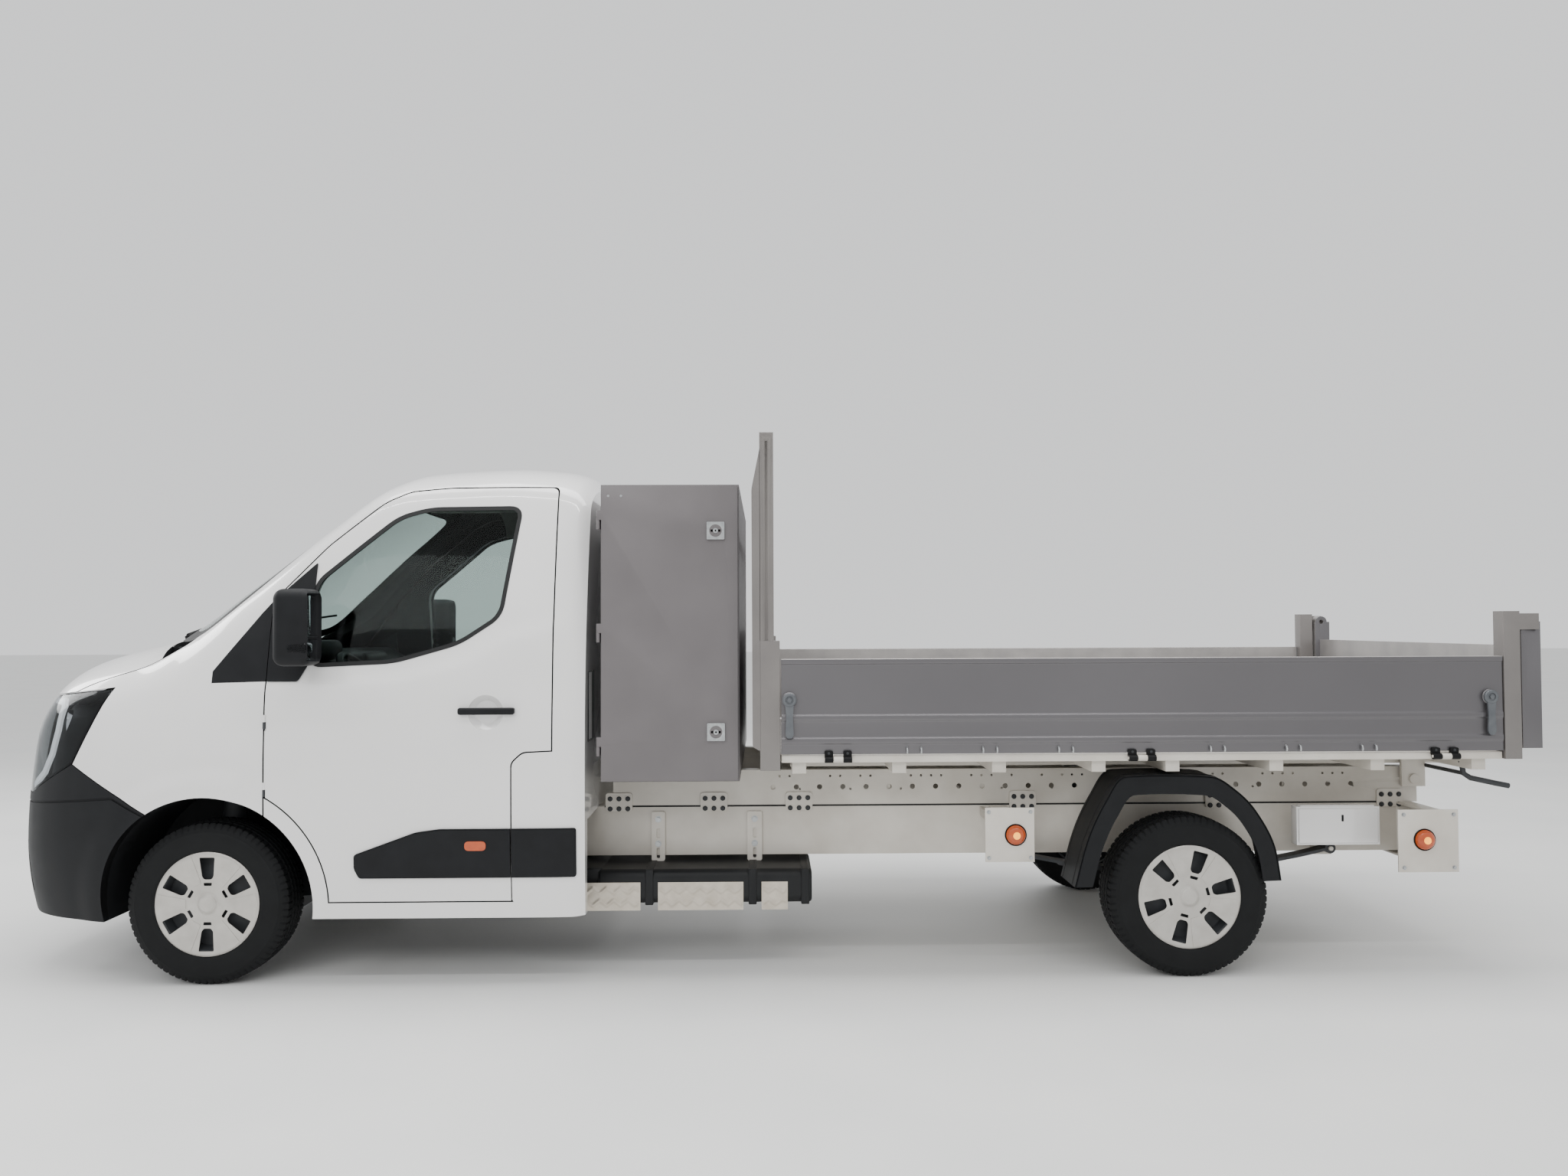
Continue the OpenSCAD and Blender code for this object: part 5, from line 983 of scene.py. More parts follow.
for label, (low, high), heads in (("driver", driver_y, [-0.56]), ("bench", bench_y, [0.10, 0.56])):
    inset = (low + swell_room, high - swell_room)
    seams = [low + 0.09, high - 0.09] + ([] if label == "driver" else [0.33])
    cushion = prism(seat_outline([(0.02, 0), (0, 0.08), (0.06, 0.16), (0.55, 0.13), (0.60, 0.0)]), "Y",
                    *inset)
    back = prism(seat_outline([(0.60, 0.01), (0.58, 0.16), (0.735, 0.66), (0.80, 0.73), (1.0, 0.73),
                               (1.05, 0.60), (0.94, 0.10), (0.90, 0.01)]), "Y", *inset)
    pads = [("cushion", stuffed(cushion, seams, (0, 0, 1))), ("back", stuffed(back, seams, (-0.94, 0, 0.34)))]
    for i, y in enumerate(heads):
        head = prism(seat_outline([(0.80, 0.745), (0.785, 0.97), (0.84, 1.0), (0.97, 0.975), (1.0, 0.745)]),
                     "Y", y - 0.12, y + 0.12)
        pads.append(("headrest_%d" % (i + 1), stuffed(head, [y + 9], (-1, 0, 0))))
    for part, pad in pads:
        dress(pad, label + "_" + part, "truck", ["seats"] if (label, part) == ("driver", "cushion") else [],
              [seat_cloth], 180)

# Chassis: two pressed steel channels with cross tubes, painted cream, and the same again in the tipper's
# subframe. Plates bolted across the joint clamp the two together, on a strip of black packing that also
# stands as a painted shadow: a dark line where shade falls along the joint. A black welded beam carries
# the front suspension.
# Cream chassis enamel over steel: half gloss, a little orange peel, dulled where the road throws dust
cream_enamel = surface("cream_chassis_enamel", "#BDB7AD", "#CCC7BE", 160, 0.42, 5, 0.06, coat=0.15)
# Black wax over forged and welded steel: dark, dull and faintly patchy
waxed_steel = surface("black_waxed_steel", "#26282A", "#333538", 70, 0.6, 3, 0.15)
# Zinc-plated fasteners: pale grey metal with a soft bluish drift
zinc = surface("zinc_plated_steel", "#A9ACAE", "#BDBFBF", 12, 0.38, 1.5, 0.03, metallic=0.9)
for node, edge in (("frame_rails", 0.004), ("frame_crossmembers", 0.005), ("subframe_crossmembers", 0.005)):
    dress(bevelled(node, edge, 2), node + "_painted", "truck", [node], [cream_enamel])
small_holes = [disc((axle_x + 2.45 + i * 0.047, 0.7650 if i % 5 == 2 else 0.8250), 0.0055, "Y", -far, far, 16)
               for i in range(58) if i % 7 not in (3, 4)]
dress(carve(bevelled("subframe_rails", 0.0005, 1), joined(small_holes)), "subframe_rails_painted", "truck",
      ["subframe_rails"], [cream_enamel])
for node in ("front_subframe", "rear_axle", "knuckle_left", "knuckle_right", "cab_hinges"):
    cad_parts[node].data.materials[0] = waxed_steel

clamp_x = (1.707, 2.146, 2.540, 3.580, 4.496, 5.300)
clamp_half, clamp_z, clamp_t = 0.062, (0.668, 0.752), 0.008
rail_y = 0.560
plates, bolt_places = [], []
for side in (-1, 1):
    for x in clamp_x:
        outline = oblong((axle_x + x - clamp_half, axle_x + x + clamp_half), clamp_z, 0.016)
        plates.append(prism(outline, "Y", *span(side, rail_y, rail_y + clamp_t)))
        bolt_places += [((axle_x + x + a * 0.034, side * (rail_y + clamp_t), z), (0, side, 0))
                        for a in (-1.2, 0, 1.2) for z in (0.680, 0.726)]
dress(joined(plates), "clamp_plates", "truck", [], [cream_enamel])
# Black strips a little proud of the rail at the joint: packing, and a painted shadow line for the shade in
# the gap
packing_shadow_z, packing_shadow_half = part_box("subframe_rails")[0].z, 0.004
packing_shadow_strips = []
for side in (-1, 1):
    y = span(side, rail_y - 0.004, rail_y + 0.0015)
    packing_shadow_strips.append(rounded_box((axle_x + 1.64, y[0], packing_shadow_z - packing_shadow_half),
                               (axle_x + 5.36, y[1], packing_shadow_z + packing_shadow_half), 0.001, 2))
dress(joined(packing_shadow_strips), "rail_packing_strips", "truck", [], [seal_rubber])


def node_group(name, inputs, output):
    """A geometry node group with its inputs and one geometry output, and the sockets that feed it."""
    tree = bpy.data.node_groups.new(name, "GeometryNodeTree")
    for socket, kind in inputs:
        tree.interface.new_socket(socket, in_out="INPUT", socket_type="NodeSocket" + kind)
    tree.interface.new_socket(output, in_out="OUTPUT", socket_type="NodeSocketGeometry")
    return tree, add_node(tree, "NodeGroupInput").outputs


bolts, given = node_group("hex_bolts", (("Places", "Geometry"), ("Head radius", "Float"),
                                        ("Head height", "Float"), ("Metal", "Material")), "Bolts")
head = add_node(bolts, "GeometryNodeMeshCylinder", None, Vertices=6, Radius=given["Head radius"],
                Depth=given["Head height"])
half_up = add_node(bolts, "ShaderNodeMath", {"operation": "MULTIPLY"}, i0=given["Head height"], i1=0.5)
lift = add_node(bolts, "ShaderNodeCombineXYZ", None, Z=half_up.outputs[0])
head = add_node(bolts, "GeometryNodeTransform", None, Geometry=head.outputs["Mesh"],
                Translation=lift.outputs[0])
wide_washer = add_node(bolts, "ShaderNodeMath", {"operation": "MULTIPLY"}, i0=given["Head radius"], i1=1.5)
thin_washer = add_node(bolts, "ShaderNodeMath", {"operation": "MULTIPLY"}, i0=given["Head height"], i1=0.5)
washer = add_node(bolts, "GeometryNodeMeshCylinder", None, Vertices=16, Radius=wide_washer.outputs[0],
                  Depth=thin_washer.outputs[0])
one_bolt = add_node(bolts, "GeometryNodeJoinGeometry")
for part in (head.outputs["Geometry"], washer.outputs["Mesh"]):
    bolts.links.new(part, one_bolt.inputs["Geometry"])
facing = add_node(bolts, "GeometryNodeInputNamedAttribute", {"data_type": "FLOAT_VECTOR"}, Name="facing")
turned = add_node(bolts, "FunctionNodeAlignRotationToVector", {"axis": "Z"},
                  Vector=facing.outputs["Attribute"])
many = add_node(bolts, "GeometryNodeInstanceOnPoints", None, Points=given["Places"],
                Instance=one_bolt.outputs["Geometry"], Rotation=turned.outputs["Rotation"])
real = add_node(bolts, "GeometryNodeRealizeInstances", None, Geometry=many.outputs["Instances"])
coated = add_node(bolts, "GeometryNodeSetMaterial", None, Geometry=real.outputs["Geometry"],
                  Material=given["Metal"])
add_node(bolts, "NodeGroupOutput", None, Bolts=coated.outputs["Geometry"])


def built(piece, tree, **values):
    """Turns what a node group makes of a piece into its plain mesh, with the materials it sets."""
    modifier = piece.modifiers.new("set", "NODES")
    modifier.node_group = tree
    for item in tree.interface.items_tree:
        if item.name.replace(" ", "_") in values:
            modifier[item.identifier] = values[item.name.replace(" ", "_")]
    mesh = bpy.data.meshes.new_from_object(piece.evaluated_get(bpy.context.evaluated_depsgraph_get()))
    piece.modifiers.clear()
    piece.data = mesh
    return piece


def repeated(tree, places, **values):
    """A plain mesh of what a node tree sets at places, each a point and the way it faces."""
    piece = shape("places", [p for p, way in places], [])
    ways = piece.data.attributes.new("facing", "FLOAT_VECTOR", "POINT")
    ways.data.foreach_set("vector", np.array([way for p, way in places], dtype=float).ravel())
    return built(piece, tree, **values)


dress(repeated(bolts, bolt_places, Head_radius=0.0078, Head_height=0.009, Metal=waxed_steel), "clamp_bolts",
      "truck")

# Engine: a cast block in the nose on two feet, under a ribbed plastic cover.
# It is seen only with the bonnet up.
# Sand-cast aluminium: dull pale grey, pitted
cast_alloy = surface("sand_cast_aluminium", "#5E6165", "#6C6F72", 40, 0.55, 2.5, 0.4, metallic=0.6)
dress(bevelled("engine", 0.02), "engine_block", "truck", ["engine"], [cast_alloy])
cover = [rounded_box((axle_x - 0.76, -0.30, 1.040), (axle_x - 0.31, 0.30, 1.068), 0.012)]
for i in range(7):
    cover.append(rounded_box((axle_x - 0.74, -0.27 + i * 0.084, 1.060),
                             (axle_x - 0.33, -0.24 + i * 0.084, 1.076), 0.006, 3))
cover.append(lathe([(0, 0), (0.045, 0), (0.045, 0.02), (0.034, 0.026), (0, 0.026)],
                   (axle_x - 0.70, 0.33, 1.045), (0, 0, 1), 32))
dress(joined(cover), "engine_cover", "truck", [], [black_plastic])

# Tyres: black road tyres with four grooves round the tread, cross cuts in the ribs and plain bead lines.
# Each is moulded and cured in one piece, and its beads sit on the rim.
# Moulded rubber: near black, dull, greyer where it has dusted over
tyre_rubber = surface("moulded_tyre_rubber", "#0D0E0F", "#141516", 90, 0.75, 2, 0.12, Specular_IOR_Level=0.25)
tyre_radius, rim_radius_out, tyre_half, wheel_y = 0.346, 0.206, 0.1125, 0.870
wheelbase = 4.215
side_shares = np.array([[0, 0.74], [0.06, 0.86], [0.14, 0.94], [0.28, 0.985], [0.45, 1.0], [0.66, 0.985],
                        [0.86, 0.90], [0.94, 0.82]])
turn_steps, cut_every = 360, 5
groove_y, groove_half, groove_deep = (-0.050, -0.018, 0.018, 0.050), 0.0045, 0.008
rise_at = np.linspace(0, 0.94, 22)
wall = np.stack([rim_radius_out + rise_at * (tyre_radius - rim_radius_out),
                 follow(side_shares[:, 0], side_shares[:, 1], rise_at) * tyre_half], 1)
for at in (0.17, 0.24, 0.72):
    wall[np.argmin(abs(rise_at - at)), 1] += 0.0016
across = np.unique(np.concatenate([np.linspace(-0.088, 0.088, 9)]
                                  + [[y - groove_half - 0.001, y - groove_half, y + groove_half,
                                      y + groove_half + 0.001] for y in groove_y]))
crown = tyre_radius - 0.0035 * (across / 0.088) ** 2
in_groove = np.min(abs(across[:, None] - np.array(groove_y)[None, :]), axis=1) <= groove_half + 1e-6
tread = np.stack([np.where(in_groove, crown - groove_deep, crown), across], 1)
section = np.concatenate([wall * (1, -1), tread, wall[::-1]])
tread_from, tread_to = len(wall), len(wall) + len(tread)
for place, x in (("front", axle_x), ("rear", axle_x + wheelbase)):
    for side, label in ((-1, "left"), (1, "right")):
        rings = []
        for i in range(turn_steps):
            ring_pts = section.copy()
            for k in range(tread_from - 3, tread_to + 3):
                y = section[k, 1]
                slant = round(y / 0.018) if abs(y) < 0.050 else (2 if y > 0 else 0)
                if (i + slant) % cut_every == 0 and not (tread_from <= k < tread_to
                                                         and in_groove[k - tread_from]):
                    ring_pts[k, 0] -= 0.0055 if abs(y) > 0.050 else 0.003
            turn = 2 * math.pi * i / turn_steps
            rings.append(np.stack([x + ring_pts[:, 0] * math.cos(turn), side * wheel_y + ring_pts[:, 1],
                                   tyre_radius + ring_pts[:, 0] * math.sin(turn)], 1))
        count = len(section)
        faces = [(i * count + k, i * count + (k + 1) % count, (i + 1) % turn_steps * count + (k + 1) % count,
                  (i + 1) % turn_steps * count + k) for i in range(turn_steps) for k in range(count)]
        body = "wheel_" + place + "_" + label
        dress(shape("tyre", np.concatenate(rings), faces), body + "_tyre", body,
              ["tyre_" + place + "_" + label], [tyre_rubber], 28)

# Wheels: pressed steel rims painted black, behind silver-painted nylon covers with six windows.
# The cover clips into the rim; a plain cap fills its middle.
# Silver paint on nylon: warm grey with a fine metal flake
silver_nylon = surface("silver_painted_nylon", "#ABA7A1", "#B9B6B0", 60, 0.36, 1.2, 0.03, metallic=0.45,
                       coat=0.3)
cover_radius, cover_low, cover_high, cover_wall, cover_step = 0.222, 0.088, 0.024, 0.005, 0.0018
fan_in, fan_half = 0.094, math.radians(12)
cover_shares = np.array([[0, 0.94], [0.12, 0.93], [0.165, 0.88], [0.19, 0.66], [0.24, 0.58], [0.5, 0.60],
                         [0.72, 0.80], [0.86, 0.95], [0.93, 1.0], [0.97, 0.97], [1, 0.80]])
window_in, window_out, window_in_half, window_out_half = 0.104, 0.199, 0.0245, 0.0325
cover_window = [(window_in, -window_in_half * 0.6), (window_in + 0.012, -window_in_half),
                (window_out, -window_out_half), (window_out, window_out_half),
                (window_in + 0.012, window_in_half), (window_in, window_in_half * 0.6)]
cover_slit = [(0.077, -0.0160), (0.090, -0.0180), (0.090, 0.0180), (0.077, 0.0160)]
for place, x, start in (("front", axle_x, 0.0), ("rear", axle_x + wheelbase, math.radians(-15))):
    for side, label in ((-1, "left"), (1, "right")):
        body = "wheel_" + place + "_" + label
        centre, out = (x, side * wheel_y, tyre_radius), (0, side, 0)
        through = span(side, wheel_y + 0.06, wheel_y + 0.15)
        at = np.linspace(0, 1, 46)
        height = cover_low + cover_high * follow(cover_shares[:, 0], cover_shares[:, 1], at)
        face = np.stack([at * cover_radius, height], 1)
        hub_cover = lathe([(r, h - cover_step) for r, h in face]
                          + [(r, h - cover_wall) for r, h in face[::-1]], centre, out, 120)
        raised = lathe([tuple(p) for p in face] + [(r, h - cover_wall / 2) for r, h in face[::-1]], centre,
                       out, 120)
        fans = []
        for i in range(6):
            turns = [start + i * math.pi / 3 + a for a in (-fan_half, 0.0, fan_half)]
            rays = [(x + r * math.cos(a), tyre_radius + r * math.sin(a)) for r, a in
                    ((fan_in, turns[0]), (cover_radius * 0.96, turns[0]), (cover_radius * 0.98, turns[1]),
                     (cover_radius * 0.96, turns[2]), (fan_in, turns[2]))]
            fans.append(prism(rays, "Y", *through))
        carve(raised, joined(fans), how="INTERSECT")
        carve(hub_cover, raised, how="UNION")
        for i in range(6):
            turn = start + i * math.pi / 3 + math.pi / 2
            c, s = math.cos(turn), math.sin(turn)
            for outline, corner in ((cover_window, 0.006), (cover_slit, 0.003)):
                turned_outline = [(x + a * c - b * s, tyre_radius + a * s + b * c)
                                  for a, b in rounded(outline, corner)]
                carve(hub_cover, prism(turned_outline, "Y", *through))
        cap = lathe([(0, 0.1095), (0.030, 0.1095), (0.0345, 0.1070), (0.0345, 0.1045), (0.0365, 0.1035),
                     (0.039, 0.1060), (0.039, 0.100), (0, 0.100)], centre, out, 64)
        dress(joined([hub_cover, cap]), body + "_cover", body, ["rim_" + place + "_" + label],
              [silver_nylon], 24)
        barrel = lathe([(0.1957, -0.095), (0.2055, -0.095), (0.2055, 0.095), (0.2035, 0.100),
                        (0.198, 0.096), (0.1957, 0.080), (0.186, 0.060), (0.186, -0.060)], centre, out, 96)
        plate = lathe([(0.031, -0.025), (0.078, -0.025), (0.080, 0.030), (0.120, 0.046), (0.160, 0.036),
                       (0.188, 0.040), (0.188, 0.050), (0.160, 0.047), (0.120, 0.058), (0.080, 0.050),
                       (0.072, 0.055), (0.031, 0.055)], centre, out, 96)
        dress(joined([barrel, plate]), body + "_rim", body, [], [waxed_steel])

# Fuel tank and heat shields: a blow-moulded tank under the left rail, held by two slotted brackets,
# with pressed aluminium shields hung beside it.
# Blow-moulded polyethylene: black, waxy and smooth
tank_plastic = surface("black_polyethylene", "#151617", "#1C1D1E", 120, 0.46, 3, 0.05,
                       Specular_IOR_Level=0.25)
# Embossed aluminium sheet, gone cream with dust: dull metal with bright tops
shield_sheet = surface("embossed_aluminium_sheet", "#B9B0A2", "#CBC3B6", 50, 0.4, 3, 0.04, metallic=0.55)
tank_y = -0.790
tank = [bevelled("fuel_tank", 0.012),
        rounded_box((axle_x + 1.50, -0.760, 0.330), (axle_x + 1.66, -0.400, 0.4435), 0.012, 3)]
for x in (1.867, 2.326, 2.560):
    tank.append(carve(rounded_box((axle_x + x - 0.018, -0.7935, 0.2865),
                                  (axle_x + x + 0.018, -0.3765, 0.4435), 0.004, 2),
                      rounded_box((axle_x + x - 0.03, -0.788, 0.292), (axle_x + x + 0.03, -0.382, 0.438),
                                  0.04)))
dress(joined(tank), "tank_and_straps", "truck", ["fuel_tank"], [tank_plastic])


def pressed_sheet(x, z, y, thickness, relief, pitch):
    """An upright sheet with two mirrored zigzag ribs pressed outwards, as a closed thin solid."""
    across, up = (np.linspace(a, b, max(2, round((b - a) / 0.0045))) for a, b in (x, z))
    points, faces = [], []
    for layer in (0, 1):
        for b in up:
            for a in across:
                zigzag = abs((a - x[0]) / pitch % 1 - 0.5) * 2
                off = abs((b - z[0]) / (z[1] - z[0]) - 0.5) - (0.12 + 0.20 * zigzag)
                edge = min(a - x[0], x[1] - a, b - z[0], z[1] - b)
                bump = relief * max(0.0, 1 - (off / 0.08) ** 2) if edge > 0.006 else 0.0
                points.append((a, y - layer * thickness - bump, b))
    n, m = len(across), len(up)
    for layer in (0, 1):
        base = layer * n * m
        faces += [(base + j * n + i, base + j * n + i + 1, base + (j + 1) * n + i + 1, base + (j + 1) * n + i)
                  for j in range(m - 1) for i in range(n - 1)]
    rim = ([i for i in range(n)] + [j * n + n - 1 for j in range(1, m)]
           + [(m - 1) * n + i for i in range(n - 2, -1, -1)] + [j * n for j in range(m - 2, 0, -1)])
    faces += [(a, b, b + n * m, a + n * m) for a, b in zip(rim, rim[1:] + rim[:1])]
    return shape("sheet", points, faces)


shields = [pressed_sheet((axle_x + a, axle_x + b), (0.264, 0.387), tank_y - 0.0005, 0.0012, 0.0042, 0.062)
           for a, b in ((1.555, 1.828), (1.906, 2.285), (2.366, 2.482))]
dress(joined(shields), "heat_shield_sheets", "truck", ["heat_shields"], [shield_sheet])
hangers, hanger_bolts = [], []
for a, b in ((1.858, 1.920), (2.300, 2.368)):
    middle = axle_x + (a + b) / 2
    outline = oblong((axle_x + a, axle_x + b), (0.440, 0.666), 0.010)
    hanger = prism(outline, "Y", -rail_y - 0.012, -rail_y)
    carve(hanger, prism(oblong((middle - 0.008, middle + 0.008), (0.452, 0.500), 0.007),
                        "Y", -far, far))
    carve(hanger, prism(oblong((middle - 0.008, middle + 0.008), (0.545, 0.590), 0.007),
                        "Y", -rail_y - 0.03, -rail_y - 0.004))
    hangers.append(hanger)
    hanger_bolts += [((middle, -rail_y - 0.012, z), (0, -1, 0)) for z in (0.520, 0.632)]
dress(joined(hangers), "tank_brackets", "truck", [], [cream_enamel])
dress(repeated(bolts, hanger_bolts, Head_radius=0.010, Head_height=0.010, Metal=zinc), "bracket_bolts",
      "truck")

# Rear mudguards: anthracite mouldings over the rear wheels, with two ribs and a flat outer skirt.
# Each is carried by two stays that are bolted to the frame rail.
guard_y, guard_wall = (0.745, 0.995), 0.007
guard_middle, skirt_share = (axle_x + 4.160, 0.400), 0.17
guard_knots = np.array([(3.715, 0.394), (3.769, 0.589), (3.850, 0.760), (3.934, 0.866), (4.080, 0.872),
                        (4.309, 0.864), (4.420, 0.800), (4.502, 0.712), (4.582, 0.551), (4.604, 0.418)])
run = np.concatenate([[0], np.cumsum(np.linalg.norm(np.diff(guard_knots, axis=0), axis=1))])
along = np.linspace(0, run[-1], 60)
guard_line = [(axle_x + x, z) for x, z in zip(follow(run, guard_knots[:, 0], along),
                                              follow(run, guard_knots[:, 1], along))]
inside_line = ribbon(guard_line, guard_wall)
guards = []
for side in (-1, 1):
    guards.append(prism(inside_line, "Y", *span(side, guard_y[0], guard_y[1])))
    skirt = guard_line + [(x + (guard_middle[0] - x) * skirt_share, z + (guard_middle[1] - z) * skirt_share)
                          for x, z in reversed(guard_line)]
    guards.append(prism(skirt, "Y", *span(side, guard_y[1] - 0.006, guard_y[1])))
    for y in (guard_y[1] - 0.050, guard_y[0] + 0.030):
        guards.append(tube([(x, side * y, z + 0.0015) for x, z in guard_line], 0.0045, 8))
    for x in (3.990, 4.260):
        stay = rounded_box((axle_x + x, rail_y, 0.820), (axle_x + x + 0.024, 0.745, 0.848), 0.006, 3)
        post = rounded_box((axle_x + x, 0.725, 0.820), (axle_x + x + 0.024, 0.752, 0.866), 0.005, 3)
        for part in (stay, post):
            to_side(part, side)
            guards.append(part)
dress(joined(guards), "rear_mudguard_mouldings", "truck", ["rear_mudguards"], [anthracite])

# Rear bar: a folded steel channel across the tail with lamp plates at its ends, side plates for the markers
# and the white box of the tipping pump bolted to the left rail.
rear_end = axle_x + wheelbase + 1.515
bar = bevelled("rear_bar", 0.003, 2)
pump_x, pump_y, pump_z = (axle_x + 4.775, axle_x + 5.151), (-0.765, -0.705), (0.528, 0.699)
for polygon in bar.data.polygons:
    c = polygon.center
    if pump_x[0] - 0.001 < c.x < pump_x[1] + 0.001 and c.y < pump_y[1] + 0.001 and c.y > pump_y[0] - 0.001:
        polygon.material_index = 1
dress(bar, "rear_bar_painted", "truck", ["rear_bar"], [cream_enamel, white_paint])
lid = [rounded_box((pump_x[0] + 0.008, pump_y[0] - 0.006, pump_z[0] + 0.008),
                   (pump_x[1] - 0.008, pump_y[0] + 0.002, pump_z[1] - 0.008), 0.005, 3),
       rounded_box((pump_x[0] + 0.02, pump_y[0] + 0.004, pump_z[1] - 0.002),
                   (pump_x[1] - 0.02, pump_y[1] - 0.004, pump_z[1] + 0.006), 0.003, 2)]
dress(joined(lid), "pump_box_lid", "truck", [], [white_paint])
keyhole = rounded_box((pump_x[0] + 0.200, pump_y[0] - 0.0075, 0.632), (pump_x[0] + 0.212, pump_y[0], 0.664),
                      0.004, 3)
dress(keyhole, "pump_box_lock", "truck", [], [black_plastic])
plate_corners = [(x, y, z) for xs, y, zs in (((3.362, 3.545), 0.900, (0.505, 0.705)),
                                             ((5.165, 5.385), 0.950, (0.460, 0.690))) for x in xs for z in zs]
plate_bolts = [((axle_x + x, side * y, z), (0, side, 0)) for side in (-1, 1) for x, y, z in plate_corners]
dress(repeated(bolts, plate_bolts, Head_radius=0.006, Head_height=0.006, Metal=zinc), "plate_bolts", "truck")
ball = lathe([(0, 0.105), (0.012, 0.103), (0.023, 0.092), (0.0245, 0.080), (0.018, 0.062), (0.016, 0.050),
              (0.024, 0.040), (0.030, 0.0), (0, 0.0)], (rear_end - 0.290, 0.0, 0.575), (0, 0, 1), 40)
hitch = [ball, rounded_box((rear_end - 0.329, -0.062, 0.520), (rear_end - 0.305, 0.062, 0.625), 0.006, 3),
         rounded_box((rear_end - 0.320, -0.040, 0.548), (rear_end - 0.262, 0.040, 0.578), 0.008, 3)]
dress(joined(hitch), "tow_ball", "truck", [], [waxed_steel])

# Lamps: round amber side markers in black rims on the side plates, and tail lamps of three chambers,
# red, amber and red. The lenses are moulded acrylic, welded to black housings.
# Red acrylic: deep and glossy
red_acrylic = surface("red_acrylic", "#640706", "#760B09", 30, 0.15, 3, 0.05, coat=0.6)
domes, rims, bulbs = [], [], []
for side in (-1, 1):
    for x, y, z in ((3.479, 0.900, 0.605), (5.255, 0.950, 0.581)):
        place, out = (axle_x + x, side * y, z), (0, side, 0)
        bulbs.append((axle_x + x, z))
        domes.append(lathe([(0, 0.0300), (0.009, 0.0297), (0.016, 0.0290), (0.030, 0.0250), (0.039, 0.0170),
                            (0.043, 0.006), (0.043, 0.0), (0, 0.0)], place, out, 40))
        rims.append(lathe([(0.0420, 0.0), (0.048, 0.0), (0.048, 0.004), (0.046, 0.006), (0.0435, 0.005),
                           (0.0420, 0.003)], place, out, 40))
# The same acrylic over the bulb: pale and glowing
lit_amber = surface("lit_amber_acrylic", "#F0A030", "#F8B040", 30, 0.18, 3, 0.05, coat=0.6,
                    Emission_Color=linear("#FFA028"), Emission_Strength=1.4)
domes = joined(domes)
for polygon in domes.data.polygons:
    off_bulb = min(math.hypot(polygon.center.x - x, polygon.center.z - z) for x, z in bulbs)
    polygon.material_index = int(off_bulb < 0.0155 and abs(polygon.normal.y) > 0.5)
dress(domes, "side_marker_lenses", "truck", ["lamps"], [amber, lit_amber])
dress(joined(rims), "side_marker_rims", "truck", [], [black_plastic])
tail_at, tail_y = rear_end - 0.325, 0.770
for label, chamber, finish in (("stop", (0.640, 0.730), red_acrylic), ("turn", (0.733, 0.815), amber),
                               ("tail", (0.818, 0.900), red_acrylic)):
    chambers = []
    for side in (-1, 1):
        y = span(side, *chamber)
        chambers.append(rounded_box((tail_at + 0.008, y[0] + 0.004, 0.496),
                                    (tail_at + 0.033, y[1] - 0.004, 0.644), 0.008))
    dress(joined(chambers), "tail_lamp_" + label, "truck", [], [finish])
backs = [rounded_box((tail_at, s - 0.131, 0.490), (tail_at + 0.016, s + 0.131, 0.650), 0.006, 3)
         for s in (-tail_y, tail_y)]
dress(joined(backs), "tail_lamp_backs", "truck", [], [black_plastic])

# Tool locker: folded sheet steel box across the truck, powder-coated grey, with a door on each side.
# Each door hangs on three hinges at its front edge and shuts with two square latches with turning handles.
# Satin powder coat: even grey with a fine orange peel
powder_grey = surface("satin_grey_powder_coat", "#5D595A", "#646061", 260, 0.44, 2.2, 0.06)
dress(bevelled("locker_body", 0.005), "locker_box", "truck", ["locker_body"], [powder_grey])
locker_x, locker_z, locker_out = (axle_x + 1.682, axle_x + 2.268), (0.861, 2.131), 1.003
latch_heights = (0.855 + 0.168 * 1.282, 0.855 + 0.842 * 1.282)
latch_x, cup_half, cup_high = axle_x + 2.174, 0.038, 0.0105
for side, label in ((-1, "left"), (1, "right")):
    body = "locker_door_" + label
    door = bevelled(body, 0.003, 2)
    dress(door, body + "_panel", body, [body], [powder_grey])
    face = side * locker_out
    cups, paddles = [], []
    for z in latch_heights:
        x = latch_x
        square = oblong((x - cup_half, x + cup_half), (z - cup_half, z + cup_half), 0.008)
        cup = carve(prism(square, "Y", *span(side, locker_out, locker_out + cup_high)),
                    disc((x, z), 0.027, "Y", *span(side, locker_out + 0.003, locker_out + 0.05), 48))
        cups.append(cup)
        y = span(side, locker_out, locker_out + 0.010)
        paddles.append(rounded_box((x - 0.024, y[0], z - 0.008), (x + 0.024, y[1], z + 0.008), 0.003, 3))
        paddles.append(lathe([(0, 0.0), (0.012, 0.0), (0.011, 0.0125), (0.004, 0.0130), (0.003, 0.009),
                              (0, 0.009)], (x, face, z), (0, side, 0), 28))
    dress(joined(cups), body + "_latch_cups", body, [], [zinc])
    dress(joined(paddles), body + "_latch_paddles", body, [], [zinc])
    rivets = [((locker_x[0] + d, face, locker_z[1] - 0.045), (0, side, 0)) for d in (0.030, 0.085)]
    rivets += [((latch_x + a * 0.033, face + side * cup_high, z + b * 0.033), (0, side, 0))
               for z in latch_heights for a in (-1, 1) for b in (-1, 1)]
    dress(repeated(bolts, rivets, Head_radius=0.0036, Head_height=0.0022, Metal=zinc), body + "_rivets", body)
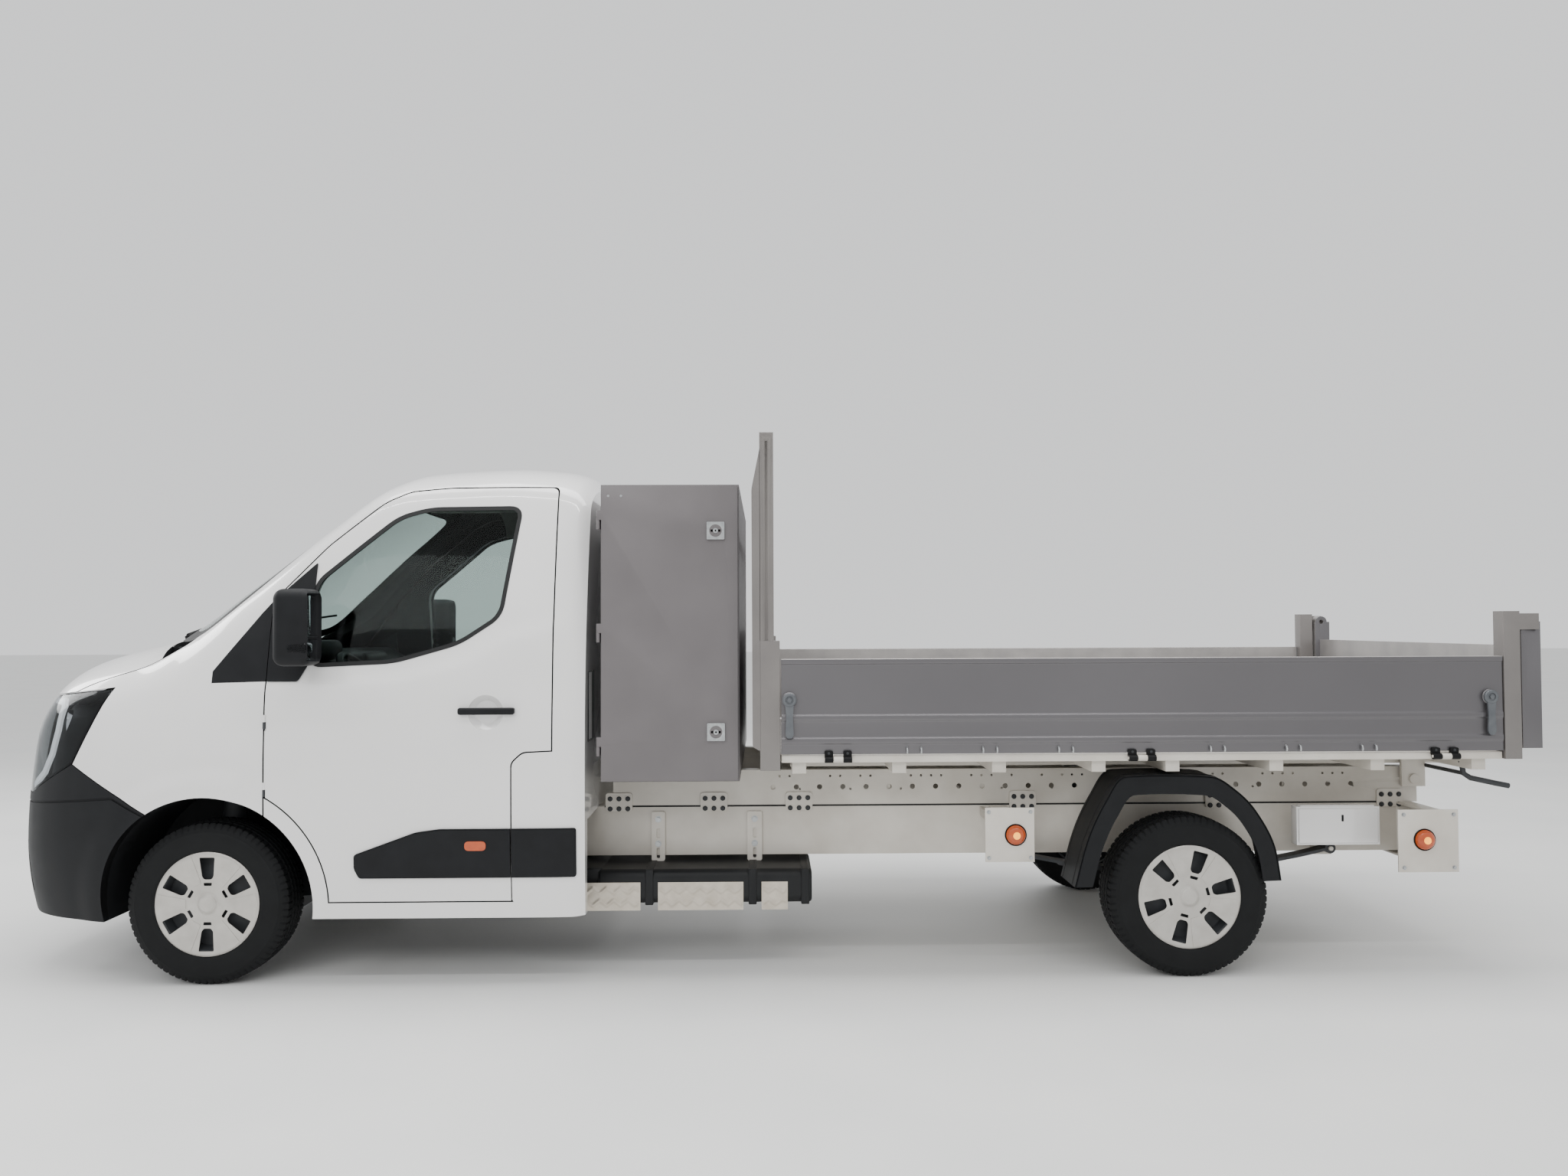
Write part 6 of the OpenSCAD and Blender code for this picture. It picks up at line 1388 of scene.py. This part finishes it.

# Tipping bed: an aluminium plank floor on steel bearers, with corner posts and a barred headboard.
# The floor hinges on two lugs at the tail; the cylinder pushes on ears at the middle.
# Mill-finish aluminium extrusion: pale, drawn lengthways, softly mirrored; on the drop sides and tailgate
# it is painted light, laid paler on their inner faces and tops
plank_alloy_and_painted_light = surface("mill_finish_aluminium", "#9D9A98", "#AFABA8", 140, 0.42, 2, 0.05, metallic=0.75)
alloy_tree = plank_alloy_and_painted_light.node_tree
drawn = add_node(alloy_tree, "ShaderNodeMapping", None,
                 Vector=alloy_tree.nodes["Texture Coordinate"].outputs["Object"], Scale=(1.0, 60.0, 60.0))
lines = add_node(alloy_tree, "ShaderNodeTexNoise", None, Vector=drawn.outputs[0], Scale=1000 / 120,
                 Detail=2.0)
fine_lines = add_node(alloy_tree, "ShaderNodeBump", None, Height=lines.outputs["Fac"], Strength=0.25,
                      Distance=0.0002, Normal=alloy_tree.nodes["Bump"].outputs["Normal"])
alloy_tree.links.new(fine_lines.outputs["Normal"], alloy_tree.nodes["Principled BSDF"].inputs["Normal"])
bed_front, bed_top, bed_half, bed_tail = axle_x + 2.363, 0.970, 1.050, rear_end - 0.097
dress(bevelled("bed_floor", 0.003, 2), "bed_floor_frame", "bed", ["bed_floor"], [cream_enamel])
plank_count, plank_gap, plank_t = 13, 0.005, 0.0022
plank_half = 0.970
plank_step = 2 * plank_half / plank_count
planks = [rounded_box((bed_front + 0.034, -plank_half + i * plank_step + plank_gap / 2, bed_top - 0.001),
                      (bed_tail - 0.004, -plank_half + (i + 1) * plank_step - plank_gap / 2,
                       bed_top + plank_t), 0.001, 2) for i in range(plank_count)]
dress(joined(planks), "bed_planks", "bed", [], [plank_alloy_and_painted_light])
# Drawn aluminium sections: satin grey, a little paler than the sides
post_alloy = surface("drawn_post_aluminium", "#7A7674", "#837F7C", 220, 0.40, 2, 0.04, metallic=0.6)
dress(bevelled("bed_posts", 0.006), "bed_corner_posts", "bed", ["bed_posts"], [post_alloy])
headboard_frame = bevelled("headboard", 0.010, 4)
post_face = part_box("headboard")[1].y
slot_x, slot_z, slot_deep = (bed_front + 0.024, bed_front + 0.034), (1.440, 2.315), 0.008
for side in (-1, 1):
    carve(headboard_frame, block(slot_x, span(side, post_face - slot_deep, far), slot_z))
for vertex in headboard_frame.data.vertices:
    vertex.co.z = min(vertex.co.z, cad_box[1].z)
dress(headboard_frame, "headboard_frame", "bed", ["headboard"], [post_alloy])
ribs = [rounded_box((bed_front + 0.024, -0.955, z), (bed_front + 0.0345, 0.955, z + 0.030), 0.005, 3)
        for z in (1.04, 1.14, 1.24, 1.34)]
dress(joined(ribs), "headboard_ribs", "bed", [], [post_alloy])
flange = [(bed_front + 0.002, 0.990), (bed_front - 0.032, 1.010), (bed_front - 0.034, 2.110),
          (bed_front + 0.002, 2.290)]
flanges = [prism(rounded(flange, 0.012), "Y", *span(side, post_face - 0.006, post_face)) for side in (-1, 1)]
dress(joined(flanges), "headboard_flanges", "bed", [], [post_alloy])

# Headboard guard: zinc-coated steel mesh between the bars, that keeps the load off the locker.
# Upright and level wires cross at even steps and are welded where they touch.
wire, given = node_group("wire_mesh",
                         (("Rows", "Geometry"), ("Wire radius", "Float"), ("Metal", "Material")), "Mesh")
as_curve = add_node(wire, "GeometryNodeMeshToCurve", None, Mesh=given["Rows"])
round_wire = add_node(wire, "GeometryNodeCurvePrimitiveCircle", None, Resolution=6,
                      Radius=given["Wire radius"])
bars_made = add_node(wire, "GeometryNodeCurveToMesh", None, Curve=as_curve.outputs["Curve"],
                     **{"Profile Curve": round_wire.outputs["Curve"], "Fill Caps": True})
real = add_node(wire, "GeometryNodeRealizeInstances", None, Geometry=bars_made.outputs["Mesh"])
coated = add_node(wire, "GeometryNodeSetMaterial", None, Geometry=real.outputs["Geometry"],
                  Material=given["Metal"])
add_node(wire, "NodeGroupOutput", None, Mesh=coated.outputs["Geometry"])
mesh_low, mesh_high, mesh_half, mesh_step = 1.470, 2.340, 0.988, 0.050
upright_x, level_x, wire_radius = bed_front + 0.046, bed_front + 0.0505, 0.0025
points, edges = [], []
for y in np.arange(-mesh_half + 0.02, mesh_half, mesh_step):
    edges.append((len(points), len(points) + 1))
    points += [(upright_x, y, mesh_low), (upright_x, y, mesh_high)]
for z in np.arange(mesh_low + 0.02, mesh_high, mesh_step):
    edges.append((len(points), len(points) + 1))
    points += [(level_x, -mesh_half, z), (level_x, mesh_half, z)]
guard = shape("guard", [], [])
guard.data.from_pydata(points, edges, [])
dress(built(guard, wire, Wire_radius=wire_radius, Metal=zinc), "headboard_mesh", "bed")

# Drop sides: anodised aluminium extrusions with two ridges, hung on three strap hinges each; their inner
# faces and tops carry painted light in a paler alloy.
# A sprung lever at each end locks into the posts; small hooks for ropes stand under the edge.
# Clear-anodised aluminium: satin grey, finely drawn along its length
anodised = surface("satin_anodised_aluminium", "#696769", "#6E6C6E", 900, 0.36, 2, 0.03, metallic=0.75,
                   spread=0.03)
side_low, side_h, side_t = 0.976, 0.406, 0.028
side_x = (bed_front + 0.091, bed_tail - 0.079)
section_side = [(0, 0), (0.8, 0), (0.8, 0.1), (1, 0.12), (1, 0.16), (0.8, 0.18), (0.8, 0.34), (1, 0.36),
                (1, 0.4), (0.8, 0.42), (0.8, 0.94), (1, 0.95), (1, 1), (0, 1)]
hinge_xs = [side_x[0] + s * (side_x[1] - side_x[0]) for s in (0.0777, 0.4958, 0.9168)]
hinge_y, hinge_z = 1.062, 0.955
catch_xs, catch_z = (side_x[0] + 0.034, side_x[1] - 0.059), 1.208
leaf_out = 0.006
for side, label in ((-1, "left"), (1, "right")):
    body = "side_" + label
    outline = rounded([(side * (bed_half - side_t + s * side_t), side_low + t * side_h)
                       for s, t in section_side], 0.0035, 3)
    panel = prism(outline, "X", *side_x)
    # Inner faces and tops take the paler alloy: painted light, as if they caught more of the lamps
    for polygon in panel.data.polygons:
        polygon.material_index = int(polygon.normal.y * side < -0.5 or polygon.normal.z > 0.7)
    dress(panel, body + "_panel", body, [body], [anodised, plank_alloy_and_painted_light])
    straps, hooks, levers, sockets, strap_bolts = [], [], [], [], []
    for x in hinge_xs:
        for d in (-0.040, 0.040):
            straps.append(lathe([(0.0061, -0.018), (0.013, -0.018), (0.013, 0.018), (0.0061, 0.018)],
                                (x + d, side * hinge_y, hinge_z), (1, 0, 0), 28))
            leaf = oblong((x + d - 0.018, x + d + 0.018), (0.958, 0.992), 0.008)
            straps.append(prism(leaf, "Y", *span(side, bed_half - 0.007, bed_half + leaf_out)))
            strap_bolts.append(((x + d, side * (bed_half + leaf_out), 0.981), (0, side, 0)))
    for x in catch_xs:
        sockets.append(lathe([(0, -0.010), (0.033, -0.010), (0.033, 0.003), (0.029, 0.007), (0.0, 0.007)],
                             (x, side * bed_half, catch_z), (0, side, 0), 36))
        levers.append(lathe([(0, 0.006), (0.030, 0.006), (0.030, 0.016), (0.026, 0.020), (0.017, 0.020),
                             (0.015, 0.016), (0.010, 0.016), (0.009, 0.022), (0, 0.022)],
                            (x, side * bed_half, catch_z), (0, side, 0), 36))
        grip = rounded([(x + a, z) for a, z in ((-0.019, 1.200), (0.019, 1.200), (0.014, 1.130),
                                                (0.018, 1.062), (0.010, 1.046), (-0.010, 1.046),
                                                (-0.018, 1.062), (-0.014, 1.130))], 0.006)
        levers.append(prism(grip, "Y", *span(side, bed_half + 0.008, bed_half + 0.0175)))
    for x0, x1 in zip(hinge_xs, hinge_xs[1:]):
        for t in (0.25, 0.5, 0.75):
            x = x0 + (x1 - x0) * t
            for d in (-0.03, 0.03):
                hooks.append(tube([(x + d, side * (bed_half - 0.006), 1.005),
                                   (x + d, side * (bed_half + 0.004), 1.000),
                                   (x + d, side * (bed_half + 0.008), 0.990),
                                   (x + d, side * (bed_half + 0.005), 0.981)], 0.0042, 8))
    dress(joined(straps), body + "_straps", body, [], [black_plastic])
    dress(joined(hooks), body + "_rope_hooks", body, [], [zinc])
    dress(joined(sockets), body + "_latch_plates", body, [], [anodised])
    dress(joined(levers), body + "_latch_levers", body, [], [cast_alloy])
    dress(repeated(bolts, strap_bolts, Head_radius=0.004, Head_height=0.004, Metal=waxed_steel),
          body + "_rivets", body)

# Tailgate: an anodised aluminium panel with pressed ribs between two box stiles, hung from pins high on the
# rear posts; its inner face and tops carry painted light in a paler alloy. A black release bar runs across
# below it, with a lever at each end.
gate = [bevelled("tailgate", 0.004, 2)]
for z in (1.035, 1.115, 1.195, 1.275, 1.355):
    gate.append(rounded_box((rear_end - 0.020, -0.945, z), (rear_end - 0.006, 0.945, z + 0.034), 0.006, 3))
gate = joined(gate)
# The inner face and tops take the paler alloy: painted light
for polygon in gate.data.polygons:
    polygon.material_index = int(polygon.normal.x < -0.5 or polygon.normal.z > 0.7)
dress(gate, "tailgate_panel", "tailgate", ["tailgate"], [anodised, plank_alloy_and_painted_light])
release_y, release_z = 0.900, 0.862
lever = [tube([(axle_x + 5.45, s * release_y, 0.918), (axle_x + 5.46, s * release_y, release_z),
               (axle_x + 5.49, s * release_y, 0.842), (axle_x + 5.60, s * release_y, 0.818),
               (axle_x + 5.66, s * release_y, 0.806)], 0.012, 12) for s in (-1, 1)]
lever.append(tube([(axle_x + 5.46, -release_y, release_z), (axle_x + 5.46, release_y, release_z)], 0.009, 12))
dress(joined(lever), "tailgate_release_bar", "bed", [], [waxed_steel])

# Tipping cylinder: a black steel barrel on trunnions, with two ground stages and a rod with a slotted eye.
# A collar screwed onto the mouth of the barrel keeps the stages in.
# Hard chrome, ground round: a bright mirror with faint turning marks
hard_chrome = surface("hard_chrome_plate", "#C9CCCF", "#D3D6D8", 60, 0.12, 1.5, 0.01, metallic=1.0,
                      spread=0.03)
for node, finish in (("ram_barrel", waxed_steel), ("ram_stage_1", hard_chrome),
                     ("ram_stage_2", hard_chrome), ("ram_rod", hard_chrome)):
    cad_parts[node].data.materials[0] = finish
collar = Vector((axle_x + 4.010, 0.0, 0.400))
way = Vector((-0.060, 0.0, 0.470)).normalized()
dress(lathe([(0.0605, 0.384), (0.072, 0.384), (0.076, 0.388), (0.076, 0.398), (0.0605, 0.398)], collar, way,
            48), "ram_collar", "ram_barrel", [], [waxed_steel])

for spare in (outer, shell):
    bpy.data.objects.remove(spare)
